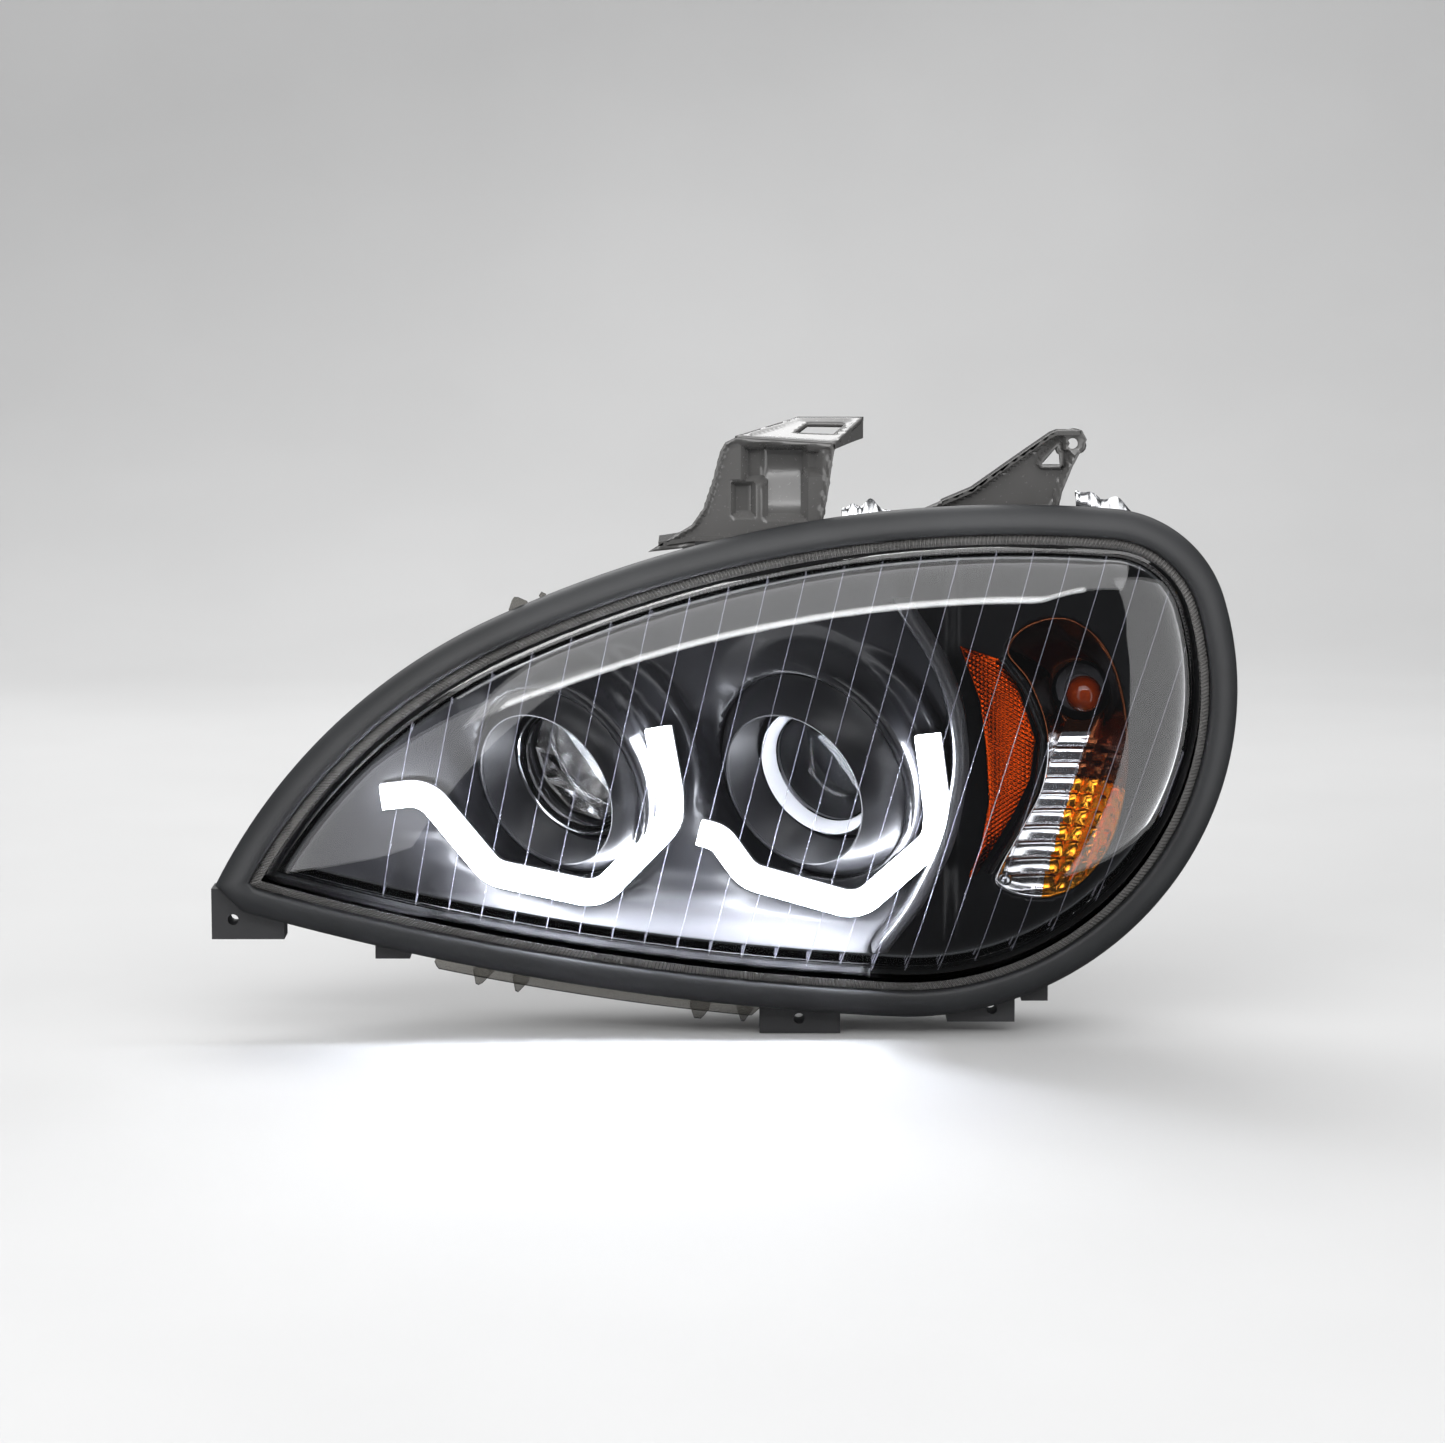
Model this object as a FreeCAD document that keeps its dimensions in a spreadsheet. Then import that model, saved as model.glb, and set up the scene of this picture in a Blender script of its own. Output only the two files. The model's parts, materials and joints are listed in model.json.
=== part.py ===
import FreeCAD, Part
import Sketcher
import math
import os
import re

# Frame: +X to the viewer's right, +Y to the rear of the lamp, +Z up, millimetres.
# The origin is the centre of the four rear studs, on the plane of their bosses.

SIZE_GROUPS = {
    "Front outline: a chain of tangent arcs and a short edge at the pointed end": {
        "outline_start_x": -337.5,
        "outline_start_z": -70.4,
        "outline_heading": 63.2,
        "arc_one_radius": 354.8,
        "arc_one_sweep": 38.3,
        "arc_two_radius": 739.3,
        "arc_two_sweep": 29.6,
        "arc_three_radius": 76.3,
        "arc_three_sweep": 68.0,
        "arc_four_radius": 196.8,
        "arc_four_sweep": 110.0,
        "arc_five_radius": 1717.6,
        "arc_five_sweep": 13.3,
        "scaling_centre_x": -9.0,
    },
    "Stations along the depth": {
        "lens_flange_front": -112.0,
        "lens_flange_rear": -109.0,
        "housing_flange_front": -106.0,
        "housing_flange_rear": -102.0,
        "housing_waist": -45.0,
        "wall_inner": -11.0,
        "wall_outer": -8.0,
        "bezel_floor_front": -96.0,
        "bezel_floor_rear": -93.0,
        "bezel_rim_front": -112.0,
        "dome_edge": -128.0,
        "gasket_front": -125.0,
    },
    "Lens, gasket and housing": {
        "flange_inset": 1.5,
        "lens_wall": 3.0,
        "dome_height": 40.0,
        "dome_power": 2.6,
        "dome_inset": 25.5,
        "dome_shift_x": 1.0,
        "dome_shift_z": 4.0,
        "skirt_inset": 19.5,
        "gasket_inner_inset": 17.5,
        "bead_outer_inset": 8.0,
        "bead_inner_inset": 12.5,
        "shell_inset": 14.0,
        "shell_wall": 3.0,
        "waist_scale": 0.93,
        "rear_scale": 0.82,
    },
    "Optical axes": {
        "axis_yaw": 36.6,
        "axis_pitch": 17.2,
        "high_lens_x": -122.0,
        "low_lens_x": 26.0,
        "lens_plane": -108.0,
        "lens_height": -2.0,
    },
    "Projectors, measured along their own axis from the lens seat": {
        "ring_outer_radius": 41.0,
        "ring_inner_radius": 35.4,
        "lens_radius": 35.0,
        "holder_radius": 41.0,
        "holder_wall": 2.4,
        "flange_radius": 48.0,
        "flange_back": -54.0,
        "flange_thickness": 4.0,
        "carrier_ring_radius": 50.0,
        "carrier_ring_bore": 44.0,
        "carrier_ring_thickness": 6.0,
        "screw_circle": 46.0,
        "screw_hole_radius": 1.7,
        "reflector_neck": 12.0,
        "low_lens_crown": 9.0,
        "high_lens_crown": 4.0,
    },
    "Shrouds round the projectors": {
        "rim_radius": 48.0,
        "rim_front": 26.0,
        "shroud_bore": 47.3,
        "shroud_back": -8.0,
        "high_seam_radius": 57.5,
        "high_seam_front": 14.0,
        "low_seam_radius": 68.0,
        "low_seam_front": 6.0,
        "pod_wall": 2.2,
    },
    "Light guides": {
        "guide_width": 15.0,
        "guide_depth": 8.0,
        "guide_tilt": -8.8,
        "guide_corner_radius": 14.0,
        "high_guide_x": -150.0,
        "high_guide_y": -125.0,
        "low_guide_x": 26.0,
        "low_guide_y": -129.0,
    },
    "Aiming mechanism": {
        "pivot_x": -7.0,
        "pivot_y": -44.0,
        "pivot_z": -64.0,
        "vertical_arm": 150.0,
        "horizontal_arm": 120.0,
        "ball_radius": 6.0,
        "liner_inner_radius": 6.3,
        "liner_outer_radius": 8.0,
        "pivot_socket_radius": 8.3,
        "rod_socket_radius": 6.4,
        "neck_radius": 3.0,
        "rod_radius": 4.0,
        "rod_bore_radius": 4.5,
        "gearbox_radius": 13.0,
        "gearbox_rear": 14.0,
        "drive_rear": 28.0,
        "drive_flats": 12.0,
        "bar_height": 10.0,
        "bar_front": -50.0,
        "bar_rear": -42.0,
    },
    "Dust caps and the turn lamp": {
        "high_cap_x": -58.0,
        "low_cap_x": 89.0,
        "cap_z": 32.0,
        "opening_radius": 40.0,
        "collar_radius": 43.0,
        "collar_rear": 4.0,
        "cap_inner_radius": 43.6,
        "cap_outer_radius": 46.6,
        "cap_rear": 12.0,
        "turn_x": 189.0,
        "turn_z": 40.0,
        "turn_hole_radius": 15.5,
        "turn_bulb_radius": 11.0,
        "turn_bowl_front": -95.0,
        "turn_bowl_rear": -46.0,
        "turn_bowl_x": 172.0,
        "turn_bowl_z": 8.0,
        "turn_bowl_half_width": 46.0,
        "turn_bowl_half_height": 76.0,
    },
    "Mounting": {
        "stud_half_x": 153.0,
        "stud_half_z": 47.0,
        "stud_radius": 3.0,
        "stud_root_radius": 3.6,
        "stud_rear": 22.0,
        "boss_radius": 9.0,
        "bracket_front": -97.0,
        "bracket_rear": -61.0,
        "bracket_plate": 4.0,
        "ear_hole_radius": 3.3,
    },
}

doc = FreeCAD.newDocument("Headlight")
sizes = doc.addObject("Spreadsheet::Sheet", "Sizes")


def fill_sheet():
    row = 1
    for title, values in SIZE_GROUPS.items():
        sizes.set("A%d" % row, title)
        row += 1
        for name, value in values.items():
            sizes.set("A%d" % row, name)
            sizes.set("B%d" % row, str(value))
            sizes.setAlias("B%d" % row, name)
            row += 1
    doc.recompute()


fill_sheet()
NAMES = {name for values in SIZE_GROUPS.values() for name in values}
V = FreeCAD.Vector
FORWARD = V(0, -1, 0)
UP = V(0, 0, 1)


def get(name):
    return float(sizes.get(name))


def bound(text):
    """Turn a formula over size names into a FreeCAD expression."""
    return re.sub(r"[A-Za-z_]\w*", lambda m: "Sizes." + m[0] if m[0] in NAMES else m[0], text)


def worth(text):
    return float(sizes.evalExpression(bound(text)))


# ---------------------------------------------------------------- placing

def standing(x, y, z):
    """Local axes along the row axes."""
    return FreeCAD.Placement(V(x, y, z), FreeCAD.Rotation())


def facing_forward(x, y, z):
    """Local Z points to the front of the lamp, local Y points up."""
    return FreeCAD.Placement(V(x, y, z), FreeCAD.Rotation(V(-1, 0, 0), UP, FORWARD, "ZXY"))


def facing_rear(x, y, z):
    """Local Z points to the rear of the lamp, local Y points up."""
    return FreeCAD.Placement(V(x, y, z), FreeCAD.Rotation(V(1, 0, 0), UP, V(0, 1, 0), "ZXY"))


def optical(side):
    """Local Z along a projector's axis, towards the road; origin at its lens seat."""
    yaw = math.radians(get("axis_yaw"))
    pitch = math.radians(get("axis_pitch"))
    ahead = V(
        -math.sin(yaw) * math.cos(pitch),
        -math.cos(yaw) * math.cos(pitch),
        -math.sin(pitch),
    )
    raised = V(0, ahead.z, -ahead.y)
    raised.normalize()
    across = raised.cross(ahead)
    base = V(get(side + "_lens_x"), get("lens_plane"), get("lens_height"))
    return FreeCAD.Placement(base, FreeCAD.Rotation(across, raised, ahead, "ZXY"))


# ---------------------------------------------------------------- document objects

PARTS = []


def keep(shape_object, label):
    shape_object.Label = label
    PARTS.append(shape_object)
    return shape_object


def feature(label, shape, placement=None):
    """A sub-part whose shape is worked out from the sheet by Part functions."""
    made = doc.addObject("Part::Feature", label)
    made.Shape = shape
    if placement is not None:
        made.Placement = placement
    return keep(made, label)


def origin_plane(body, role):
    for item in body.Origin.OriginFeatures:
        if item.Role == role:
            return item
    raise ValueError(role)


def profile_sketch(body, name, role, points):
    """A closed polygon whose corners are bound to the sheet."""
    sketch = body.newObject("Sketcher::SketchObject", name)
    sketch.AttachmentSupport = (origin_plane(body, role), [""])
    sketch.MapMode = "FlatFace"
    corners = [V(worth(a), worth(b), 0) for a, b in points]
    count = len(corners)
    for index in range(count):
        sketch.addGeometry(Part.LineSegment(corners[index], corners[(index + 1) % count]), False)
    for index in range(count):
        sketch.addConstraint(Sketcher.Constraint("Coincident", index, 2, (index + 1) % count, 1))
    for index, pair in enumerate(points):
        for kind, text in zip(("DistanceX", "DistanceY"), pair):
            value = worth(text)
            number = sketch.addConstraint(Sketcher.Constraint(kind, -1, 1, index, 1, value))
            sketch.setExpression("Constraints[%d]" % number, bound(text))
    return sketch


def turned(label, placement, points):
    """A body turned round its local Z from a (radius, height) outline."""
    body = doc.addObject("PartDesign::Body", label)
    sketch = profile_sketch(body, label + "_outline", "XZ_Plane", points)
    turn = body.newObject("PartDesign::Revolution", label + "_turn")
    turn.Profile = sketch
    turn.ReferenceAxis = (sketch, ["V_Axis"])
    turn.Angle = 360
    sketch.Visibility = False
    body.Placement = placement
    return keep(body, label)


def round_holes(body, name, centres, radius):
    """Holes through the whole body along its local Z."""
    sketch = body.newObject("Sketcher::SketchObject", name)
    sketch.AttachmentSupport = (origin_plane(body, "XY_Plane"), [""])
    sketch.MapMode = "FlatFace"
    for index, (x, y) in enumerate(centres):
        circle = Part.Circle(V(x, y, 0), V(0, 0, 1), worth(radius))
        sketch.addGeometry(circle, False)
        number = sketch.addConstraint(Sketcher.Constraint("Radius", index, worth(radius)))
        sketch.setExpression("Constraints[%d]" % number, bound(radius))
        sketch.addConstraint(Sketcher.Constraint("DistanceX", -1, 1, index, 3, x))
        sketch.addConstraint(Sketcher.Constraint("DistanceY", -1, 1, index, 3, y))
    pocket = body.newObject("PartDesign::Pocket", name + "_cut")
    pocket.Profile = sketch
    pocket.Type = 1
    pocket.Midplane = True
    sketch.Visibility = False
    return pocket


# ---------------------------------------------------------------- outline family

def arc_chain():
    """Centre, radius, first heading and sweep of each arc of the front outline."""
    x = get("outline_start_x")
    z = get("outline_start_z")
    heading = math.radians(get("outline_heading"))
    arcs = []
    for name in ("one", "two", "three", "four", "five"):
        radius = get("arc_%s_radius" % name)
        sweep = math.radians(get("arc_%s_sweep" % name))
        cx = x + radius * math.sin(heading)
        cz = z - radius * math.cos(heading)
        arcs.append((cx, cz, radius, heading, sweep))
        heading -= sweep
        x = cx - radius * math.sin(heading)
        z = cz + radius * math.cos(heading)
    return arcs


def on_arc(arc, heading, inset, y):
    cx, cz, radius = arc[:3]
    reach = radius - inset
    return V(cx - reach * math.sin(heading), y, cz + reach * math.cos(heading))


def heading_at(arc, point):
    return math.atan2(arc[0] - point.x, point.z - arc[1])


def meet_line(arc, inset, start, along):
    """Where an inset arc crosses the line at the pointed end."""
    centre = V(arc[0], start.y, arc[1])
    reach = arc[2] - inset
    middle = (centre - start).dot(along)
    off = (centre - start - along * middle).Length
    half = math.sqrt(reach * reach - off * off)
    ends = [start + along * (middle - half), start + along * (middle + half)]
    return min(ends, key=lambda p: (p - start).Length)


def meet_arcs(first, last, inset, y):
    """The point where the first and last arcs cross when the end is left sharp."""
    a = V(first[0], y, first[1])
    b = V(last[0], y, last[1])
    ra = first[2] - inset
    rb = last[2] - inset
    gap = b - a
    span = gap.Length
    along = (ra * ra - rb * rb + span * span) / (2 * span)
    height = math.sqrt(ra * ra - along * along)
    gap.normalize()
    side = V(-gap.z, 0, gap.x)
    ends = [a + gap * along + side * height, a + gap * along - side * height]
    return min(ends, key=lambda p: p.x)


def outline(inset, y, sharp=False):
    """The front outline moved inwards, as a wire in the plane at depth y."""
    arcs = arc_chain()
    first = arcs[0]
    last = arcs[-1]
    if sharp:
        start = meet_arcs(first, last, inset, y)
        finish = start
    else:
        tip_a = on_arc(last, last[3] - last[4], 0, y)
        tip_b = on_arc(first, first[3], 0, y)
        along = tip_b - tip_a
        along.normalize()
        inward = V(along.z, 0, -along.x)
        finish = meet_line(last, inset, tip_a + inward * inset, along)
        start = meet_line(first, inset, tip_b + inward * inset, along)
    edges = []
    for index, arc in enumerate(arcs):
        h_in = heading_at(arc, start) if index == 0 else arc[3]
        h_out = heading_at(arc, finish) if index == len(arcs) - 1 else arc[3] - arc[4]
        if h_out > h_in:
            h_out -= 2 * math.pi
        p = [on_arc(arc, h, inset, y) for h in (h_in, (h_in + h_out) / 2, h_out)]
        edges.append(Part.Arc(*p).toShape())
    if not sharp:
        edges.append(Part.makeLine(finish, start))
    return Part.Wire(edges)


def slab(wire, depth):
    return Part.Face(wire).extrude(V(0, depth, 0))


def band(outer, inner, y_front, y_rear, sharp_outer=False, sharp_inner=True):
    """A flat ring between two insets of the outline."""
    depth = y_rear - y_front
    solid = slab(outline(outer, y_front, sharp_outer), depth)
    return solid.cut(slab(outline(inner, y_front, sharp_inner), depth))


def loft(wires, ruled=True):
    return Part.makeLoft(wires, True, ruled)


def scaled(wire, factor):
    copy = wire.copy()
    base = V(get("scaling_centre_x"), wire.BoundBox.YMin, 0)
    copy.scale(factor, base)
    return copy


def block(x0, x1, y0, y1, z0, z1):
    return Part.makeBox(x1 - x0, y1 - y0, z1 - z0, V(x0, y0, z0))


def rod(radius, start, end):
    axis = end - start
    return Part.makeCylinder(radius, axis.Length, start, axis)


def fused(shapes):
    whole = shapes[0].multiFuse(shapes[1:])
    return whole.removeSplitter()


def polygon(points, y, depth):
    """A prism along Y from (x, z) corners."""
    corners = [V(x, y, z) for x, z in points]
    return Part.Face(Part.makePolygon(corners + corners[:1])).extrude(V(0, depth, 0))


# ---------------------------------------------------------------- lens, gasket, housing

DOME_STEPS = (1.0, 0.985, 0.94, 0.86, 0.74, 0.58, 0.4, 0.2, 0.04)


def dome_wire(inset, share, crown):
    """The dome edge scaled by share and pushed forward on a superellipse."""
    power = get("dome_power")
    rise = crown * (1 - share ** power) ** (1 / power)
    wire = outline(inset, get("dome_edge"), True)
    wire = scaled(wire, share)
    wire.translate(V(get("dome_shift_x"), -rise, get("dome_shift_z")))
    return wire


def lens_solid(grow, crown):
    """The filled shape inside the skirt and dome, grown inwards by grow."""
    inset = get("dome_inset") + grow
    edge = dome_wire(inset, 1.0, crown)
    seat = outline(get("skirt_inset") + grow, get("lens_flange_front"), True)
    skirt = loft([seat, edge])
    dome = loft([dome_wire(inset, share, crown) for share in DOME_STEPS], False)
    return skirt.fuse(dome)


LENS_TABS = ((-186, -173), (-162, -150), (-54, -39), (-25, -14))
TOP_TABS = ((-162, -150), (-144, -139))


def lens_shape():
    front = get("lens_flange_front")
    rear = get("lens_flange_rear")
    wall = get("lens_wall")
    crown = get("dome_height")
    outer = lens_solid(0, crown).fuse(slab(outline(get("skirt_inset"), rear, True), front - rear))
    inner = lens_solid(wall, crown - wall + 0.6)
    inner_foot = slab(outline(get("skirt_inset") + wall, rear + 1, True), front - rear - 1)
    flange = slab(outline(get("flange_inset"), front), rear - front)
    strip = slab(outline(-6, front), rear - front).common(block(-209, -9, front, rear, -200, 0))
    pieces = [outer, flange, strip]
    for x0, x1 in LENS_TABS:
        low = block(x0, x1, front, rear, -170, -100)
        pieces.append(slab(outline(-11, front), rear - front).common(low))
    for x0, x1 in TOP_TABS:
        high = block(x0, x1, front, rear, 60, 130)
        pieces.append(slab(outline(-6, front), rear - front).common(high))
    return fused(pieces).cut(inner).cut(inner_foot)


def gasket_shape():
    front = get("gasket_front")
    seat = get("lens_flange_front") - 0.2
    steps = [(0.0, seat), (1.5, seat - 5), (6.0, front + 3), (12.5, front)]
    solids = []
    for (inset_a, y_a), (inset_b, y_b) in zip(steps, steps[1:]):
        solids.append(loft([outline(inset_a, y_a), outline(inset_b, y_b)]))
    bore = slab(outline(get("gasket_inner_inset"), seat + 1), front - seat - 2)
    return fused(solids).cut(bore)


def shell_solid(inset, y_rear):
    front = get("housing_flange_front")
    wires = [
        outline(inset, front),
        scaled(outline(inset, get("housing_waist")), get("waist_scale")),
        scaled(outline(inset, y_rear), get("rear_scale")),
    ]
    return loft(wires)


def post_places():
    """Screw posts that carry the bezel, as (x, z)."""
    return ((-215, -35), (90, 95), (140, -70), (-60, -85))


def stud_places():
    half_x = get("stud_half_x")
    half_z = get("stud_half_z")
    return [(i * half_x, k * half_z) for i in (-1, 1) for k in (-1, 1)]


def adjuster_places():
    x = get("pivot_x")
    z = get("pivot_z")
    return {
        "vertical": (x, z + get("vertical_arm")),
        "horizontal": (x - get("horizontal_arm"), z),
    }


VENTS = ((45, 95), (30, -88))
INLET_X = (-70, -40)
INLET_Z = (-88, -62)


def lower_ears():
    """Solid ears below and beside the flange, each as a block."""
    front = get("housing_flange_front") + 2
    rear = front + 20
    return [
        block(-9, 40, front, rear, -163, -136),
        block(105, 146, front, rear, -156, -128),
        block(-341, -297, front, rear, -105, -74),
        block(-242, -221, front, rear, -117, -96),
        block(150, 166, front, rear, -143, -118),
    ]


def housing_shape():
    outer_wall = get("wall_outer")
    inner_wall = get("wall_inner")
    shell = shell_solid(get("shell_inset"), outer_wall)
    flange_front = get("housing_flange_front")
    flange_rear = get("housing_flange_rear")
    parts = [shell, slab(outline(get("flange_inset"), flange_front), flange_rear - flange_front)]
    for x, z in stud_places():
        parts.append(rod(get("boss_radius"), V(x, inner_wall - 2, z), V(x, 0, z)))
    for side in ("high", "low"):
        x = get(side + "_cap_x")
        z = get("cap_z")
        parts.append(rod(get("collar_radius"), V(x, inner_wall, z), V(x, get("collar_rear"), z)))
    for x in (-36, 12):
        parts.append(block(x - 12, x + 12, -97, -58, 100, 136))
    for x in (120, 152):
        parts.append(block(x - 11, x + 11, -97, -74, 110, 150))
    parts.extend(lower_ears())
    body = fused(parts)
    cavity = shell_solid(get("shell_inset") + get("shell_wall"), inner_wall)
    body = body.cut(cavity)
    adds = []
    for x, z in post_places():
        adds.append(rod(5, V(x, outer_wall - 1, z), V(x, get("bezel_floor_rear"), z)))
    turn_x = get("turn_x")
    turn_z = get("turn_z")
    adds.append(rod(21, V(turn_x, inner_wall - 5, turn_z), V(turn_x, outer_wall, turn_z)))
    body = fused([body] + adds)
    cuts = []
    for x, z in post_places():
        cuts.append(rod(1.6, V(x, -80, z), V(x, get("bezel_floor_rear") - 1, z)))
    for x, z in stud_places():
        cuts.append(rod(get("stud_root_radius") + 0.1, V(x, -20, z), V(x, 1, z)))
        cuts.append(rod(6.1, V(x, -20, z), V(x, inner_wall, z)))
    for side in ("high", "low"):
        x = get(side + "_cap_x")
        z = get("cap_z")
        cuts.append(rod(get("opening_radius"), V(x, -20, z), V(x, 20, z)))
    cuts.append(rod(get("turn_hole_radius"), V(turn_x, -20, turn_z), V(turn_x, 5, turn_z)))
    for x, z in adjuster_places().values():
        cuts.append(rod(get("rod_bore_radius"), V(x, -20, z), V(x, 5, z)))
    px = get("pivot_x")
    pz = get("pivot_z")
    cuts.append(rod(3.2, V(px, -20, pz), V(px, 5, pz)))
    for x, z in VENTS:
        cuts.append(rod(4, V(x, -20, z), V(x, 5, z)))
    cuts.append(block(INLET_X[0] + 4, INLET_X[1] - 4, -20, 5, INLET_Z[0] + 6, INLET_Z[1] - 6))
    for x in (-36, 12):
        cuts.append(rod(2.6, V(x, -78, 116), V(x, -78, 140)))
    for x in (120, 152):
        cuts.append(rod(2.6, V(x, -85, 126), V(x, -85, 155)))
    ear = get("ear_hole_radius")
    cuts.append(rod(ear, V(15, -110, -154), V(15, -70, -154)))
    cuts.append(rod(ear, V(-328, -110, -93), V(-328, -70, -93)))
    cuts.append(rod(ear, V(132, -110, -148), V(132, -70, -148)))
    cuts.append(block(-9.5, 3, -100, -88, -164, -157))
    return body.cut(Part.makeCompound(cuts))


# ---------------------------------------------------------------- bezel and shrouds

def along_axis(side, radius, back, front, radius_front=None):
    """A round tool along a projector's axis."""
    if radius_front is None:
        tool = Part.makeCylinder(radius, front - back, V(0, 0, back))
    else:
        tool = Part.makeCone(radius, radius_front, front - back, V(0, 0, back))
    tool.Placement = optical(side)
    return tool


def turn_window(grow, y_front, y_rear):
    """The opening of the turn compartment, an upright ellipse."""
    half_w = get("turn_bowl_half_width") + grow
    half_h = get("turn_bowl_half_height") + grow
    return Part.Face(Part.Wire([upright_ellipse(half_w, half_h, y_front)])).extrude(
        V(0, y_rear - y_front, 0)
    )


def upright_ellipse(half_w, half_h, y):
    centre = V(get("turn_bowl_x"), y, get("turn_bowl_z"))
    top = centre + V(0, 0, half_h)
    side = centre + V(half_w, 0, 0)
    return Part.Ellipse(top, side, centre).toShape()


def bezel_shape():
    front = get("bezel_floor_front")
    rear = get("bezel_floor_rear")
    rim = get("bezel_rim_front")
    plate = slab(outline(26, front, True), rear - front)
    wall = band(24, 26.5, rim, rear, True, True)
    body = fused([plate, wall])
    tools = [turn_window(2.5, front - 5, rear + 5)]
    for side in ("high", "low"):
        radius = get(side + "_seam_radius") + 0.3
        tools.append(along_axis(side, radius, -90, 60))
    body = body.cut(Part.makeCompound(tools))
    ahead = block(-400, 400, -200, rear, -200, 200)
    for side, back in (("high", -62), ("low", -80)):
        seam = get(side + "_seam_radius")
        top = get(side + "_seam_front") - 0.5
        outer = along_axis(side, seam + 0.3 + get("pod_wall"), back, top)
        inner = along_axis(side, seam + 0.3, back - 1, top + 1)
        pod = outer.cut(inner).common(ahead)
        if side == "high":
            low_top = get("low_seam_front") + 1
            low_seam = get("low_seam_radius") + 0.3
            clear = along_axis("low", low_seam, -90, low_top)
            cone = along_axis("low", low_seam + 2, low_top, get("rim_front") + 3, get("rim_radius"))
            pod = pod.cut(clear).cut(cone)
        else:
            guard = along_axis("high", get("high_seam_radius") + 0.3, -120, 40)
            pod = pod.cut(guard)
        body = fused([body, pod])
    partition = arc_wall(((74, 103), (109, 2), (99, -78)), 2.5, rim - 2, front)
    body = fused([body, partition])
    body = fused([body, ledge("high"), ledge("low")])
    cuts = [rod(1.9, V(x, -110, z), V(x, -80, z)) for x, z in post_places()]
    cuts.extend([guide_channel("high"), guide_channel("low")])
    for cut in cuts:
        body = body.cut(cut)
    return max(body.Solids, key=lambda s: s.Volume)


def arc_wall(points, thickness, y_front, y_rear):
    """A curved wall that follows an arc through three (x, z) points."""
    inner = [V(x, y_front, z) for x, z in points]
    outer = [V(x + thickness, y_front, z) for x, z in points]
    edges = [
        Part.Arc(*inner).toShape(),
        Part.makeLine(inner[2], outer[2]),
        Part.Arc(*outer[::-1]).toShape(),
        Part.makeLine(outer[0], inner[0]),
    ]
    return Part.Face(Part.Wire(edges)).extrude(V(0, y_rear - y_front, 0))


LEDGES = {
    "high": ((-20, -63), (-20, -59), (42, -71), (42, -75)),
    "low": ((-43, -65), (-43, -61), (20, -77), (20, -81)),
}


def ledge(side):
    """A flat web from the floor up to the underside of a light guide."""
    web = polygon(LEDGES[side], get("guide_depth") / 2 + 4, 60)
    web.Placement = guide_placement(side)
    return web.common(block(-400, 400, -200, get("bezel_floor_rear"), -200, 200))


def guide_channel(side):
    """Room for a light guide and its board, open to the front."""
    half = get("guide_depth") / 2
    channel = path_strip(GUIDE_PATHS[side], get("guide_width") + 1, -60, half + 3.5)
    channel.Placement = guide_placement(side)
    return channel


def shroud_profile(side):
    seam = side + "_seam_radius"
    top = side + "_seam_front"
    return [
        ("shroud_bore", "shroud_back"),
        ("rim_radius - 2", "rim_front - 3"),
        ("rim_radius - 1.4", "rim_front - 0.4"),
        ("rim_radius", "rim_front"),
        (seam, top),
        (seam, top + " - 3"),
        (seam + " - 2.5", top + " - 3"),
        ("rim_radius + 1", "rim_front - 5"),
        ("shroud_bore + 2", "shroud_back"),
    ]


# ---------------------------------------------------------------- light guides

GUIDE_PATHS = {
    "high": ((-87, -16.5), (-61, -13), (-20, -61), (46, -74), (89, -29), (89, -10), (82, 29)),
    "low": ((-72, -37), (-60, -40), (-43, -63), (24, -80), (70, -38), (71, -20), (65, 25)),
}


def guide_base(side):
    return get(side + "_guide_x"), get(side + "_guide_y")


def guide_placement(side):
    x, y = guide_base(side)
    return FreeCAD.Placement(V(x, y, 0), FreeCAD.Rotation(UP, get("guide_tilt")))


def rounded_path(points, radius):
    """Straight runs joined by arcs, in the local XZ plane."""
    corners = [V(x, 0, z) for x, z in points]
    edges = []
    last = corners[0]
    for before, here, after in zip(corners, corners[1:], corners[2:]):
        a = before - here
        b = after - here
        room = min(a.Length, b.Length) * 0.45
        a.normalize()
        b.normalize()
        half = a.getAngle(b) / 2
        cut = min(radius / math.tan(half), room)
        arc_radius = cut * math.tan(half)
        bisector = a + b
        bisector.normalize()
        centre = here + bisector * (arc_radius / math.sin(half))
        start = here + a * cut
        end = here + b * cut
        middle = centre - bisector * arc_radius
        edges.append(Part.makeLine(last, start))
        edges.append(Part.Arc(start, middle, end).toShape())
        last = end
    edges.append(Part.makeLine(last, corners[-1]))
    return Part.Wire(edges)


def path_strip(points, width, y_front, y_rear):
    """A strip of even width that follows a rounded path."""
    path = rounded_path(points, get("guide_corner_radius"))
    first = path.Edges[0]
    start = first.Vertexes[0].Point
    along = first.Vertexes[1].Point - start
    along.normalize()
    side = V(-along.z, 0, along.x) * (width / 2)
    front = V(0, y_front, 0)
    rear = V(0, y_rear, 0)
    corners = [start + side + front, start - side + front, start - side + rear, start + side + rear]
    section = Part.makePolygon(corners + corners[:1])
    return path.makePipeShell([section], True, False)


def guide_shape(side):
    half = get("guide_depth") / 2
    return path_strip(GUIDE_PATHS[side], get("guide_width"), -half, half)


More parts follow.
